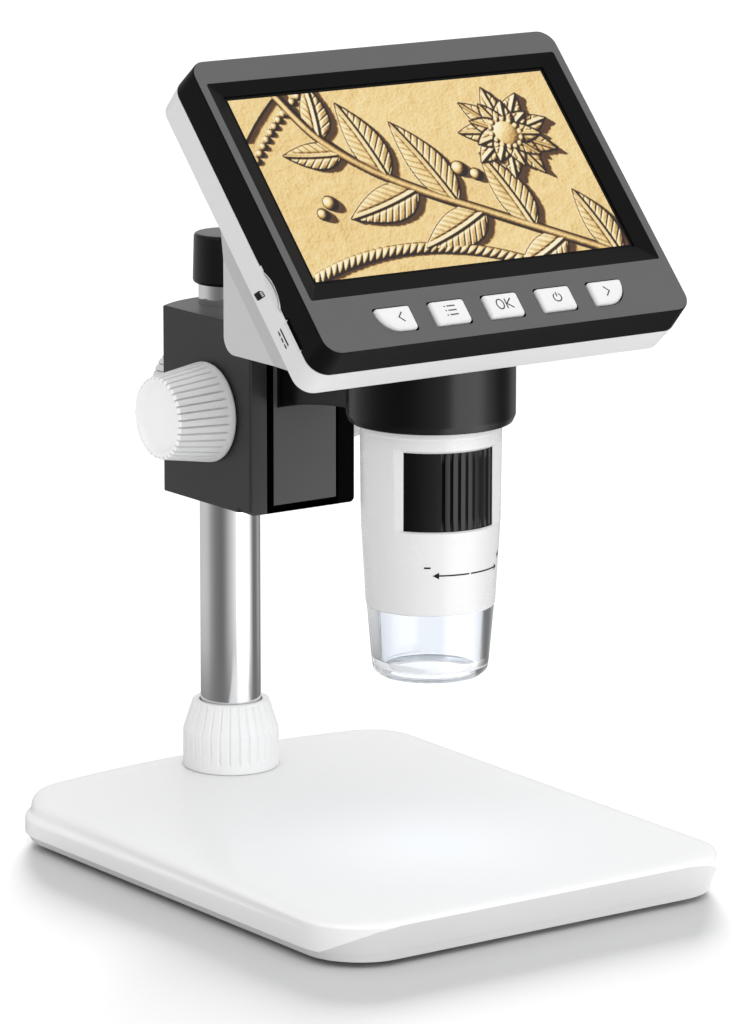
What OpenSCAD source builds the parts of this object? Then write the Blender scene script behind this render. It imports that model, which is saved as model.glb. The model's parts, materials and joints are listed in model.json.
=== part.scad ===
// Digital microscope with a built-in screen on a rack-focus pole stand.
// Millimetres, +Z up, the user stands on the -Y side, X = 0 is the middle.
// Z = 0 is the plane the rubber feet stand on.

/* [Base] */
// Width of the base, left to right
base_w = 123.2; // [110:0.1:140]
// Depth of the base, front to back
base_d = 153.9; // [145:0.1:165]
// Height of the base's top face above the table, under the collar nut
base_top = 13.5; // [12:0.1:15]
// How far the base's back edge is bowed out behind the pole
base_bow = 4.4; // [0:0.1:6]
// Corner radius of the base at its widest
base_r = 17; // [12:1:24]

/* [Pole] */
// Distance of the pole axis behind the frame's origin
pole_y = 58.6; // [56:0.1:60]
// Outer diameter of the pole
pole_d = 15.8; // [15.4:0.1:16.2]
// Height of the underside of the cap on the pole
cap_z = 142.3; // [141:0.1:150]

/* [Focus housing] */
// Width of the housing
house_w = 32.6; // [32:0.1:36]
// Height of the housing's lower face
house_z0 = 88; // [86:0.5:89]
// Height of the housing's upper face
house_z1 = 137; // [136:0.5:140]
// Distance of the pinion axis in front of the pole axis
pinion_off = 15.2; // [15:0.1:15.6]
// Number of grooves round a focus knob
knob_grooves = 36; // [24:1:44]

/* [Holder] */
// Distance of the lens axis in front of the pole axis
reach = 88.5; // [86:0.5:92]
// Outer radius of the holder ring
ring_ro = 21; // [20.6:0.1:23]
// Height of the ring's lower edge
ring_z0 = 120.2; // [119.5:0.1:121]

/* [Screen unit] */
// Tilt of the screen from the horizontal
tilt = 46.8; // [46:0.1:48]
// Height of the centre of the picture area
lcd_z = 181.8; // [181:0.1:183]
// Number of teeth on the pinion, module 1
pinion_teeth = 10; // [10:1:10]

/* [Hidden] */
$fn = 64;

base_cy = -2.2;                    // centre of the base in Y
lens_y = pole_y - reach;           // lens axis in Y
pr = pole_d / 2;
hx = house_w / 2;
front_y = pole_y - 33.4;           // front plane of the housing's wings
pin_y = pole_y - pinion_off;       // pinion axis
pin_z = (house_z0 + house_z1) / 2;
liner_ri = 17.93;                  // bore of the ring's rubber liner
barrel_r = 17.85;                  // barrel inside the liner
neck_z = 141.2;                    // underside of the screen unit
key_x = [-32, -16, 0, 16, 32];
key_v = -41.1;
face_n = 1.5;                      // front face above the picture plane
part_n = -6.9;                     // joint between bezel and rear shell
back_n = -15.5;                    // back of the slab

white = [0.94, 0.94, 0.95];
black = [0.07, 0.07, 0.075];
grey = [0.24, 0.24, 0.25];
steel = [0.72, 0.72, 0.74];
brass = [0.80, 0.62, 0.30];

// ---------- helpers ----------
module rr2(w, h, r) {
    square([w - 2 * r, h], center = true);
    square([w, h - 2 * r], center = true);
    for (i = [-1, 1], j = [-1, 1]) translate([i * (w / 2 - r), j * (h / 2 - r)]) circle(r);
}
module ring(ro, ri, h) { difference() { cylinder(r = ro, h = h); translate([0, 0, -1]) cylinder(r = ri, h = h + 2); } }
module at_pole(z = 0) { translate([0, pole_y, z]) children(); }
module at_lens(z = 0) { translate([0, lens_y, z]) children(); }
// local x = X, local y = up the screen, local z = out of the screen
module head() { translate([0, lens_y, lcd_z]) rotate([tilt, 0, 0]) children(); }
// profile drawn as (y, z), extruded from x0 to x1
module side_profile(x0, x1) { translate([x0, 0, 0]) rotate([90, 0, 90]) linear_extrude(x1 - x0) children(); }
// screw pointing along +z with its head under z = 0
module pan_screw(r, hr, hh, len) {
    difference() {
        union() { cylinder(r = r, h = len); translate([0, 0, -hh]) cylinder(r = hr, h = hh); }
        for (a = [0, 90]) rotate(a) translate([-hr * 0.62, -0.25, -hh - 0.1]) cube([hr * 1.24, 0.5, hh * 0.6]);
    }
}

// ---------- base ----------
foot_pos = [for (i = [-1, 1], j = [-1, 1]) [i * (base_w / 2 - 16), base_cy + j * (base_d / 2 - 17)]];
bscrew_pos = [for (i = [-1, 1], j = [-1, 1]) [i * (base_w / 2 - 12), base_cy + j * 40]];
module base_fronts() {
    for (i = [-1, 1]) translate([i * (base_w / 2 - base_r), base_cy - (base_d / 2 - base_r), 0]) children();
}
module base_backs() {
    for (i = [-1, 1]) {
        translate([i * (base_w / 2 - base_r), base_cy + base_d / 2 - base_r, 0]) children();
        translate([i * 30, base_cy + base_d / 2 - base_r + base_bow * 0.55, 0]) children();
        translate([i * 14, base_cy + base_d / 2 - base_r + base_bow, 0]) children();
    }
}
// the undercut facet along the front: [direction from the corner's centre, height of its upper edge]
facets = [[270, 9.7], [250, 8.9], [235, 7.5], [220, 5.8], [207, 4.2]];
module base_facets() {
    for (i = [-1, 1], f = facets) {
        t = base_r - 1.5 - 3 / (f[1] - 1);
        translate([i * (base_w / 2 - base_r), base_cy - (base_d / 2 - base_r), 0]) rotate(i < 0 ? f[0] : 540 - f[0])
            rotate([90, 0, 0]) translate([0, 0, f[0] == 270 ? -80 : -22]) linear_extrude(f[0] == 270 ? 160 : 44)
            polygon([[t, -1], [base_r, f[1]], [base_r + 14, f[1]], [base_r + 14, -1]]);
    }
}
module base_shell() color(white) {
    difference() {
        union() {
            difference() {
                union() {
                    // upright skirt
                    hull() {
                        base_fronts() rotate_extrude($fn = 48) polygon([[0, 3.05], [base_r - 0.1, 3.05], [base_r, 3.2], [base_r, 7.1], [base_r - 0.25, 7.6], [base_r - 0.8, 7.9], [base_r - 1.6, 8], [0, 8]]);
                        base_backs() rotate_extrude($fn = 48) polygon([[0, 3.05], [base_r - 0.1, 3.05], [base_r, 3.2], [base_r, 7.1], [base_r - 0.25, 7.6], [base_r - 0.8, 7.9], [base_r - 1.6, 8], [0, 8]]);
                    }
                    // cushion: full width and low at the front, set in and higher at the back
                    hull() {
                        base_fronts() rotate_extrude($fn = 48) polygon([[0, 6.8], [base_r, 6.8], [base_r, 9.75], [base_r - 0.3, 10.15], [base_r - 1.1, 10.5], [base_r - 2.6, 10.8], [base_r - 4.6, 10.97], [base_r - 7, 11.02], [0, 11.02]]);
                        base_backs() rotate_extrude($fn = 48) polygon([[0, 6.8], [base_r - 1.6, 6.8], [base_r - 1.6, base_top - 3.6], [base_r - 1.9, base_top - 2.5], [base_r - 2.6, base_top - 1.5], [base_r - 3.8, base_top - 0.65], [base_r - 5.4, base_top - 0.17], [base_r - 7.4, base_top + 0.08], [base_r - 10, base_top + 0.16], [0, base_top + 0.16]]);
                    }
                }
                // cavity, with its roof sloped like the top face
                hull() {
                    translate([0, base_cy - (base_d / 2 - 17), 1]) linear_extrude(7.4) rr2(base_w - 12, 22, 11);
                    translate([0, base_cy + base_d / 2 - 17, 1]) linear_extrude(base_top - 3.6) rr2(base_w - 12, 22, 11);
                }
            }
            // boss that carries the pole socket
            intersection() {
                at_pole(5.4) cylinder(r = 15.5, h = base_top - 7.4);
                translate([-30, 0, 0]) cube([60, base_cy + base_d / 2 - 4, 30]);
            }
            for (p = bscrew_pos) translate([p[0], p[1], 3.55]) cylinder(r = 3.6, h = 6);
        }
        base_facets();
        at_pole(0) cylinder(r = 9.25, h = 30);
        // shallow seat for the collar nut
        at_pole(base_top - 0.05) cylinder(r = 13, h = 3);
        for (p = bscrew_pos) translate([p[0], p[1], 0]) cylinder(r = 1.3, h = 9.2);
        for (a = [30, 150, 270]) at_pole(0) rotate(a) translate([11.6, 0, 0]) cylinder(r = 1.05, h = 10.5);
    }
}
module base_plate() color(white) {
    difference() {
        union() {
            hull() {
                translate([0, 0, -0.5]) base_fronts() cylinder(r1 = base_r - 1.5, r2 = base_r - 0.3, h = 2, $fn = 48);
                translate([0, 0, -0.5]) base_backs() cylinder(r1 = base_r - 1.5, r2 = base_r - 0.3, h = 2, $fn = 48);
            }
            translate([0, base_cy, 1.2]) linear_extrude(0.75) rr2(base_w - 12.6, base_d - 12.6, 10.7);
        }
        translate([0, 0, -1.5]) base_facets();
        for (p = foot_pos) translate([p[0], p[1], -1]) cylinder(r = 6.3, h = 1.6);
        for (p = bscrew_pos) translate([p[0], p[1], -1]) { cylinder(r = 1.6, h = 5); cylinder(r = 3.1, h = 1.9); }
    }
}
module base_plate_placed() translate([0, 0, 1.5]) base_plate();
module base_weight() color(steel) {
    difference() {
        translate([0, base_cy - 14, 3.6]) linear_extrude(4.4) rr2(84, 96, 4);
        for (p = bscrew_pos) translate([p[0], p[1], 0]) cylinder(r = 4.2, h = 12);
    }
}
module rubber_feet() color([0.12, 0.12, 0.12]) {
    for (p = foot_pos) translate([p[0], p[1], 0]) { cylinder(r1 = 5.6, r2 = 6.2, h = 1); translate([0, 0, 1]) cylinder(r = 6.2, h = 1.05); }
}
module base_screws() color(steel) {
    for (p = bscrew_pos) translate([p[0], p[1], 2.39]) pan_screw(1.28, 2.8, 0.8, 6.4);
}
module pole_socket() color(steel) at_pole() {
    difference() {
        union() {
            intersection() {
                translate([0, 0, 3.6]) cylinder(r = 14.6, h = 1.8);
                translate([-20, -20, 0]) cube([40, 29.8, 10]);
            }
            translate([0, 0, 5.3]) cylinder(r = 9.2, h = 21.7);
        }
        translate([0, 0, 5.9]) cylinder(r = pr + 0.05, h = 30);
        for (a = [30, 150, 270]) rotate(a) translate([11.6, 0, 0]) { cylinder(r = 1.25, h = 10); translate([0, 0, 3]) cylinder(r = 2.1, h = 1.52); }
        // three shallow relief grooves stand for the thread run-outs
        for (z = [12.4, 26.2]) translate([0, 0, z]) ring(10, 8.7, 0.8);
    }
}
module socket_screws() color(steel) at_pole() {
    for (a = [30, 150, 270]) rotate(a) translate([11.6, 0, 4.5]) pan_screw(1.0, 1.9, 0.8, 5.6);
}
module collar_collet() color([0.85, 0.85, 0.83]) at_pole(27.35) {
    difference() {
        cylinder(r1 = 9.15, r2 = 8.5, h = 2.9);
        translate([0, 0, -1]) cylinder(r = pr + 0.1, h = 6);
        translate([0, -0.8, -1]) cube([12, 1.6, 6]);
    }
}
module collar_nut() color(white) at_pole() {
    difference() {
        rotate_extrude() polygon([[0, 13.5], [12.2, 13.5], [12.6, 13.9], [12.6, 23.3], [12.3, 24.2], [10.2, 31.0], [9.8, 31.6], [0, 31.6]]);
        translate([0, 0, 13]) cylinder(r = 9.5, h = 14.6);
        translate([0, 0, 27.59]) cylinder(r1 = 9.5, r2 = 8.8, h = 3.3);
        translate([0, 0, 28]) cylinder(r = pr + 0.35, h = 5);
        for (a = [0:12:359]) rotate(a) translate([12.85, 0, 15.6]) cylinder(r = 0.62, h = 9.2);
    }
}

// ---------- pole ----------
module pole() color(steel) at_pole(6.2) {
    difference() { cylinder(r = pr, h = 145.4); translate([0, 0, -1]) cylinder(r = pr - 1.2, h = 150); }
}
module pole_plug() color(black) at_pole(6.2) { cylinder(r = pr - 1.2, h = 13); }
module pole_cap() color(black) at_pole(cap_z) {
    difference() {
        rotate_extrude() polygon([[0, 0], [8.7, 0], [9.4, 0.7], [9.35, 2], [9.0, 12.2], [8.4, 12.9], [7.6, 13.1], [0, 13.1]]);
        translate([0, 0, -1]) cylinder(r = pr, h = 10.3);
    }
}

// ---------- focus housing ----------
module focus_housing() color(black) {
    difference() {
        union() {
            translate([-hx, front_y, house_z0]) cube([house_w, pole_y + 6.4 - front_y, house_z1 - house_z0]);
            // rounded back round the pole
            intersection() {
                translate([-hx, pole_y, house_z0]) cube([house_w, 20, house_z1 - house_z0]);
                translate([0, pole_y - 15.5, house_z0]) cylinder(r = 27.2, h = house_z1 - house_z0, $fn = 96);
            }
        }
        at_pole(house_z0 - 1) cylinder(r = pr + 0.06, h = house_z1 - house_z0 + 2);
        // front channel, T-slot and rack slot
        translate([-10.9, front_y - 1, house_z0 - 1]) cube([21.8, 4.7, house_z1 - house_z0 + 2]);
        translate([-5.3, front_y, house_z0 - 1]) cube([10.6, 8, house_z1 - house_z0 + 2]);
        translate([-9.3, front_y + 6.6, house_z0 - 1]) cube([18.6, 3.8, house_z1 - house_z0 + 2]);
        translate([-4, front_y + 8, house_z0 - 1]) cube([8, pin_y - 3.7 - front_y - 8, house_z1 - house_z0 + 2]);
        // pinion cavity and bush seats across the housing
        translate([-hx - 1, pin_y, pin_z]) rotate([0, 90, 0]) cylinder(r = 6.3, h = hx + 1 + 4.4);
        translate([0, pin_y, pin_z]) rotate([0, 90, 0]) cylinder(r = 5.2, h = hx + 1);
        // clamp screw seat and pad pocket at the back
        translate([0, pole_y + 5, pin_z]) rotate([-90, 0, 0]) cylinder(r = 3.6, h = 5.2);
        translate([0, pole_y + 9, pin_z]) rotate([-90, 0, 0]) cylinder(r = 3.1, h = 6);
        // stop screw
        translate([6, front_y + 8.5, 126]) rotate([0, 90, 0]) cylinder(r = 1.05, h = 20);
        translate([hx - 1.3, front_y + 8.5, 126]) rotate([0, 90, 0]) cylinder(r = 2.1, h = 3);
        // bottom corners of the wings
        for (s = [-1, 1]) translate([s * hx, front_y, house_z0]) rotate([0, 45, 0]) cube([1.4, 8, 1.4], center = true);
    }
}
module pinion_bushes() color(brass) translate([0, pin_y, pin_z]) rotate([0, 90, 0]) {
    translate([0, 0, -hx + 0.1]) ring(6.3, 2.56, hx - 4.4);
    translate([0, 0, 4.4]) ring(5.2, 2.56, hx - 4.5);
}
module slide_gibs() color([0.88, 0.88, 0.84]) {
    difference() {
        for (s = [-1, 1]) translate([s * 8.85 - 0.45, front_y + 6.7, house_z0 + 1])
            cube([0.9, 3.6, house_z1 - house_z0 - 2]);
        translate([6, front_y + 8.5, 126]) rotate([0, 90, 0]) cylinder(r = 1.1, h = 6);
    }
}
module clamp_insert() color(brass) translate([0, pole_y + 10.25, pin_z]) rotate([-90, 0, 0]) {
    difference() { cylinder(r = 3.1, h = 1.45); translate([0, 0, -1]) cylinder(r = 2.06, h = 4); }
}
module stop_screw() color(steel) translate([7.1, front_y + 8.5, 126]) rotate([0, 90, 0]) {
    cylinder(r = 1.03, h = hx - 8.4);
    translate([0, 0, hx - 8.4]) difference() { cylinder(r = 2, h = 1.1); translate([-1.6, -0.25, 0.6]) cube([3.2, 0.5, 1]); }
}

// ---------- pole clamp ----------
module clamp_pad() color([0.85, 0.85, 0.83]) difference() {
    translate([0, pole_y + 6.8, pin_z]) rotate([-90, 0, 0]) cylinder(r = 3.4, h = 2.4);
    at_pole(pin_z - 10) cylinder(r = pr + 0.15, h = 20);
}
module clamp_screw() color(steel) translate([0, pole_y + 9.4, pin_z]) rotate([-90, 0, 0]) cylinder(r = 2, h = 8);
module knob_body(r1, r2, len, grooves, band) {
    // axis +z, the wide end at z = 0
    difference() {
        rotate_extrude() polygon([[0, 0], [r1, 0], [r1, band * 0.6], [r2 + 0.5, len - 1.2], [r2 - 0.5, len], [0, len]]);
        for (a = [0:360 / grooves:359.9]) rotate(a)
            translate([r1 + 0.32, 0, band]) rotate([0, -atan((r1 - r2 - 0.3) / (len - band * 0.6 - 1.2)), 0])
                cylinder(r = 0.55, h = len + 3, $fn = 16);
    }
}
module clamp_knob() color(white) translate([0, pole_y + 12.1, pin_z]) rotate([-90, 0, 0]) {
    difference() {
        knob_body(11.9, 11.0, 8.5, 36, 1.2);
        translate([0, 0, -1]) cylinder(r = 2, h = 6.4);
        translate([0, 0, 7.9]) cylinder(r1 = 8.8, r2 = 9.6, h = 1);
    }
}

// ---------- focus drive ----------
mod_rp = pinion_teeth / 2;
mod_rb = mod_rp * cos(20);
tooth_t = 1.3;
function inv(r) = let(a = acos(min(1, mod_rb / r))) tan(a) - a * PI / 180;
function half_ang(r) = (tooth_t / (2 * mod_rp) + inv(mod_rp) - inv(max(r, mod_rb))) * 180 / PI;
gear_r = [3.85, mod_rb, 4.85, 5.05, 5.25, 5.45, 5.62, 5.78];
module gear2d() {
    polygon([for (k = [0:pinion_teeth - 1]) each [
        for (r = gear_r) [r * cos(k * 36 - half_ang(r)), r * sin(k * 36 - half_ang(r))],
        for (i = [len(gear_r) - 1:-1:0]) let(r = gear_r[i]) [r * cos(k * 36 + half_ang(r)), r * sin(k * 36 + half_ang(r))]]]);
}
module pinion_gear() color(brass) translate([-3.6, pin_y, pin_z]) rotate([90, 0, 90]) linear_extrude(7.2) difference() {
    gear2d();
    circle(2.5);
}
module pinion_shaft() color(steel) translate([0, pin_y, pin_z]) rotate([0, 90, 0]) {
    translate([0, 0, -29]) cylinder(r = 2.5, h = 58);
    for (s = [-1, 1]) translate([0, 0, s * 4 - 0.3]) cylinder(r = 3.6, h = 0.6);
}
module focus_knob() {
    // axis +z, the wide end at z = 0
    difference() {
        knob_body(13.0, 10.45, 16.0, knob_grooves, 2.2);
        translate([0, 0, -1]) cylinder(r = 2.5, h = 13.5);
        translate([0, 0, 14.8]) cylinder(r1 = 8.6, r2 = 9.0, h = 1.5);
        translate([0, 0, -0.1]) cylinder(r = 11, h = 1.3);
        ring(11, 6.2, 3);
        translate([0, 0, 6.5]) rotate([0, 90, 0]) cylinder(r = 1.5, h = 15);
    }
}
module left_focus_knob() color(white) translate([-hx - 0.35, pin_y, pin_z]) rotate([0, -90, 0]) rotate(180) focus_knob();
module right_focus_knob() color(white) translate([hx + 0.35, pin_y, pin_z]) rotate([0, 90, 0]) focus_knob();
module knob_screws() color(steel) {
    for (s = [-1, 1]) translate([s * (hx + 0.35 + 6.5), pin_y, pin_z - 7.7]) difference() {
        cylinder(r = 1.48, h = 5.2);
        translate([0, 0, -0.1]) cylinder(r = 0.7, h = 1.4, $fn = 6);
    }
}
module friction_washers() color([0.85, 0.85, 0.83]) for (s = [-1, 1])
    translate([s * (hx + 0.95) - 0.5, pin_y, pin_z]) rotate([0, 90, 0]) ring(5.6, 2.5, 1.0);

// ---------- carriage, arm and ring ----------
car_y0 = front_y - 0.8;
module carriage() color(grey) difference() {
    union() {
        translate([-9.8, car_y0, 90.2]) cube([19.6, 4.2, 47.6]);
        translate([-5, car_y0 + 4, 90.2]) cube([10, 4, 47.6]);
        translate([-8.1, front_y + 6.9, 90.2]) cube([16.2, 3.2, 47.6]);
    }
    // slot for the stop screw
    translate([6.7, front_y + 6, 106.5]) cube([3, 5, 24.5]);
    // screw holes for the rack and the arm
    for (z = [95.5, 131.5]) translate([0, front_y + 3, z]) rotate([-90, 0, 0]) cylinder(r = 1.0, h = 9);
    for (z = [120.8, 127], x = [-2.6, 2.6]) translate([x, car_y0 - 1, z]) rotate([-90, 0, 0]) cylinder(r = 1.2, h = 7);
    for (z = [120.8, 127], x = [-2.6, 2.6]) translate([x, car_y0 + 5, z]) rotate([-90, 0, 0]) cylinder(r = 2.2, h = 9);
}
module rack() color(brass) difference() {
    side_profile(-3.5, 3.5) difference() {
        translate([front_y + 10.1, 91]) square([pin_y - mod_rp + 0.78 - front_y - 10.1, 42]);
        for (k = [-8:8]) translate([pin_y - mod_rp, pin_z + k * PI])
            polygon([[1.2, (PI - tooth_t) / 2 + 1.2 * tan(20)], [1.2, -(PI - tooth_t) / 2 - 1.2 * tan(20)],
                [-1.05, -(PI - tooth_t) / 2 + 1.05 * tan(20)], [-1.05, (PI - tooth_t) / 2 - 1.05 * tan(20)]]);
    }
    for (z = [95.5, 131.5]) translate([0, front_y, z]) rotate([-90, 0, 0]) { cylinder(r = 1.15, h = 30); translate([0, 0, 11.2]) cylinder(r = 2.1, h = 7); }
}
module rack_screws() color(steel) for (z = [95.5, 131.5])
    translate([0, front_y + 11.22, z]) rotate([90, 0, 0]) pan_screw(0.98, 1.9, 0.65, 7.2);
module ring_arm() color(black) difference() {
    union() {
        at_lens() rotate_extrude($fn = 96) polygon([[17, ring_z0], [19.3, ring_z0], [20.2, ring_z0 + 0.45], [20.8, ring_z0 + 1.3], [ring_ro, ring_z0 + 2.4],
            [ring_ro, 135.9], [20.4, 136.6], [17, 136.6]]);
        // arm with an arched underside
        {
            side_profile(-8.8, 8.8) polygon([[car_y0, 115.5], [car_y0, 137.6], [lens_y + 14, 136.4], [lens_y + 14, 121.2],
                [lens_y + ring_ro - 1, 120.5], [-1.9, 120], [2.2, 119.6], [6.3, 119.15], [9.7, 118.65], [13.1, 118.1], [16.6, 117.4], [20, 116.6]]);
        }
        // foot of the arm on the carriage
        translate([-8.8, car_y0 - 1.2, 115.9]) cube([17.6, 1.2, 21.7]);
    }
    at_lens(100) cylinder(r = 18.55, h = 60);
    for (z = [120.8, 127], x = [-2.6, 2.6]) translate([x, car_y0 - 7, z]) rotate([-90, 0, 0]) cylinder(r = 1.0, h = 8);
}
module arm_screws() color(steel) for (z = [120.8, 127], x = [-2.6, 2.6])
    translate([x, car_y0 + 5.02, z]) rotate([90, 0, 0]) pan_screw(0.98, 2.0, 1.4, 10.5);
module ring_liner() color([0.1, 0.1, 0.1]) at_lens() difference() {
    union() { translate([0, 0, 121.4]) cylinder(r = 18.48, h = 15.8); translate([0, 0, 136.9]) cylinder(r = 19.4, h = 1); }
    translate([0, 0, 100]) cylinder(r = liner_ri, h = 60);
}

// ---------- screen unit ----------
corner_x = 50.5; corner_t = 33.35; corner_b = -44;
module slab_corners() for (x = [-corner_x, corner_x], v = [corner_b, corner_t]) translate([x, v, 0]) children();
boss_pos = [[-49.8, 35.25], [49.8, 35.25], [-49.4, -43.8], [49.4, -43.8]];
module key_hole2d(i) {
    if (i == 0) difference() { rr2(10.9, 7.4, 0.8); translate([-5.45, -3.7]) corner_cut(6.1); }
    else if (i == 4) difference() { rr2(10.9, 7.4, 0.8); mirror([1, 0]) translate([-5.45, -3.7]) corner_cut(6.1); }
    else rr2(10.9, 7.4, 0.8);
}
module corner_cut(r) difference() { square([r, r]); translate([r, r]) circle(r); }
module front_bezel() color(grey) head() difference() {
    union() {
        difference() {
            hull() slab_corners() translate([0, 0, part_n]) cylinder(r1 = 5.1, r2 = 4.5, h = face_n - part_n, $fn = 48);
            translate([0, (corner_t + corner_b) / 2, part_n - 1]) linear_extrude(-0.4 - part_n + 1) rr2(107.2, 83.8, 3.6);
        }
        for (p = boss_pos) translate([p[0], p[1], part_n]) cylinder(r = 1.95, h = -part_n);
        // ribs round the screen
        for (v = [-34.6, 33.9]) translate([-52.5, v, -3.6]) cube([105, 0.8, 3.4]);
    }
    // sloped recess down to the picture
    hull() {
        translate([-52.65, -33.05, face_n]) cube([105.3, 64.15, 0.5]);
        translate([-48.5, -27.9, 0]) cube([97, 55.8, 0.1]);
    }
    translate([-48.5, -27.9, -3]) cube([97, 55.8, 4]);
    for (i = [0:4]) translate([key_x[i], key_v, -2]) linear_extrude(6) key_hole2d(i);
    for (p = boss_pos) translate([p[0], p[1], part_n - 1]) cylinder(r = 1.0, h = 5.6);
    // card slot and power socket break the joint line
    translate([-60, -23.8, -16.07]) rotate([0, 90, 0]) cylinder(r = 10.9, h = 6.9);
    translate([-60, -30.0, part_n - 2]) cube([6.9, 11.4, 2.25]);
    translate([-60, -41.5, part_n - 2]) cube([6.9, 9.0, 3.5]);
}
wedge_y = lens_y + 10.7;
module slab_hollow() head() translate([0, (corner_t + corner_b) / 2, -13.3]) linear_extrude(8.3) rr2(107.2, 83.8, 3.6);
module rear_shell() color(white) difference() {
    union() {
        difference() {
            union() {
                difference() {
                    union() {
                        head() hull() slab_corners() {
                            translate([0, 0, back_n + 0.9]) cylinder(r1 = 4.7, r2 = 5.1, h = part_n - back_n - 0.9, $fn = 48);
                            translate([0, 0, back_n]) cylinder(r1 = 3.9, r2 = 4.7, h = 0.9, $fn = 48);
                        }
                        // wedge that turns the slanted screen into an upright neck
                        intersection() {
                            side_profile(-56, 56) {
                                polygon([[wedge_y, neck_z + 4.2], [wedge_y, neck_z + 31], [wedge_y - 28, neck_z + 3], [wedge_y - 30, neck_z], [wedge_y - 4.2, neck_z]]);
                                intersection() { translate([wedge_y - 4.2, neck_z + 4.2]) circle(4.2); translate([wedge_y - 4.2, neck_z]) square(4.2); }
                            }
                            // its sides step in behind the slab
                            head() translate([0, -80, 0]) rotate([-90, 0, 0]) linear_extrude(160)
                                polygon([[-55.15, 12], [55.15, 12], [55.15, 15], [54.5, 19.9], [54.5, 70], [-54.5, 70], [-54.5, 19.9], [-55.15, 15]]);
                        }
                        intersection() {
                            at_lens(neck_z) { cylinder(r = 19.9, h = 15.9); translate([0, 0, 15.9]) cylinder(r1 = 19.9, r2 = 13, h = 9); }
                            head() translate([-40, -80, -60]) cube([80, 160, 51]);
                        }
                    }
                    // hollow of the wedge, open to the slab
                    side_profile(-52.6, 52.6) polygon([[wedge_y - 2, neck_z + 2], [wedge_y - 2, neck_z + 26], [wedge_y - 4.4, neck_z + 30], [wedge_y - 27.6, neck_z + 5.4], [wedge_y - 24.4, neck_z + 2]]);
                }
                // seat of the barrel inside the neck
                at_lens(neck_z) cylinder(r = 19.9, h = 9.8);
            }
            slab_hollow();
        }
        for (p = boss_pos) head() translate([p[0], p[1], -13.6]) cylinder(r = 2.4, h = part_n + 13.6);
        // tongue that fills the bezel's notch at the card slot
        head() intersection() {
            translate([-55.4, -23.8, -16.07]) rotate([0, 90, 0]) cylinder(r = 10.8, h = 1.8);
            translate([-56, -36, -9]) cube([3, 24, 5]);
        }
    }
    at_lens(neck_z - 1) cylinder(r = 17.9, h = 7.8);
    at_lens(neck_z - 1) cylinder(r = 13.4, h = 17.4);
    for (a = [30, 150, 90]) at_lens(neck_z) rotate(a) translate([15.4, 0, 0]) cylinder(r = 1.0, h = 12.4);
    for (p = boss_pos) head() translate([p[0], p[1], -16]) { cylinder(r = 1.25, h = 12); cylinder(r = 2.25, h = 3); }
    // card slot and power socket
    head() translate([-60, -30.0, -7.65]) cube([6.9, 11.4, 0.9]);
    head() translate([-59.6, -23.4, -6.9]) sphere(r = 5);
    head() translate([-60, -41.5, -9.05]) cube([6.9, 9.0, 3]);
}
module lcd_panel() color([0.75, 0.6, 0.3]) head() translate([0, 0, -1.55]) linear_extrude(1.1) square([105, 65.6], center = true);
module lcd_tray() color(steel) head() translate([0, 0, -3.5]) linear_extrude(1.9) square([105.4, 66.2], center = true);
module main_board() color([0.05, 0.32, 0.16]) head() {
    translate([0, 0, -6.2]) linear_extrude(1.5) difference() {
        union() {
            translate([-52.5, -36]) square([105, 69]);
            translate([-42.5, -46]) square([85, 11]);
        }
        for (x = [-46, 46]) translate([x, 28]) circle(1.6);
    }
    color([0.08, 0.08, 0.08]) for (c = [[-18, -18, 14, 14], [6, -16, 10, 10], [22, -20, 8, 6], [-30, 6, 7, 9]])
        translate([c[0], c[1], -7.4]) linear_extrude(1.25) square([c[2], c[3]], center = true);
}
module battery() color([0.2, 0.4, 0.75]) head() translate([10, 16.4, -11.7]) linear_extrude(4.6) rr2(60, 31, 1.5);
module sd_slot() color(steel) head() difference() {
    translate([-53.4, -31.0, -8.2]) cube([12.9, 13.2, 2.0]);
    translate([-56, -30.1, -7.7]) cube([13.5, 11.4, 1.0]);
}
module power_socket() color(steel) head() difference() {
    translate([-54.9, -40.9, -8.85]) cube([6.5, 8.0, 2.65]);
    translate([-56, -40.4, -8.45]) cube([6.4, 7.0, 1.85]);
}
module tact_switches() color([0.1, 0.1, 0.1]) head() for (x = key_x) translate([x, key_v, -4.7]) {
    linear_extrude(1.0) square([4.5, 4.5], center = true);
    cylinder(r = 1.1, h = 1.35);
}
module shell_screws() color(steel) for (p = boss_pos) head() translate([p[0], p[1], -13.02]) pan_screw(0.98, 2.05, 1.2, 10);
module key(i) color(white) head() translate([key_x[i], key_v, 0]) difference() {
    union() {
        translate([0, 0, -0.3]) linear_extrude(2.4) key2d(i, 0);
        translate([0, 0, 2.05]) linear_extrude(0.55) key2d(i, 0.5);
        // rim that keeps the key behind the bezel, and its stem
        translate([0, 0, -1.55]) linear_extrude(0.75) rr2(12.6, 8.8, 1);
        translate([0, 0, -2.5]) cylinder(r = 1.6, h = 2.4);
    }
    translate([0, 0, 4.6]) sphere(r = 2.05);
}
module key2d(i, d) {
    w = 10.2 - 2 * d; h = 6.7 - 2 * d;
    if (i == 0) difference() { rr2(w, h, 0.7); translate([-w / 2, -h / 2]) corner_cut(5.8); }
    else if (i == 4) difference() { rr2(w, h, 0.7); mirror([1, 0]) translate([-w / 2, -h / 2]) corner_cut(5.8); }
    else rr2(w, h, 0.7);
}

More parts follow.
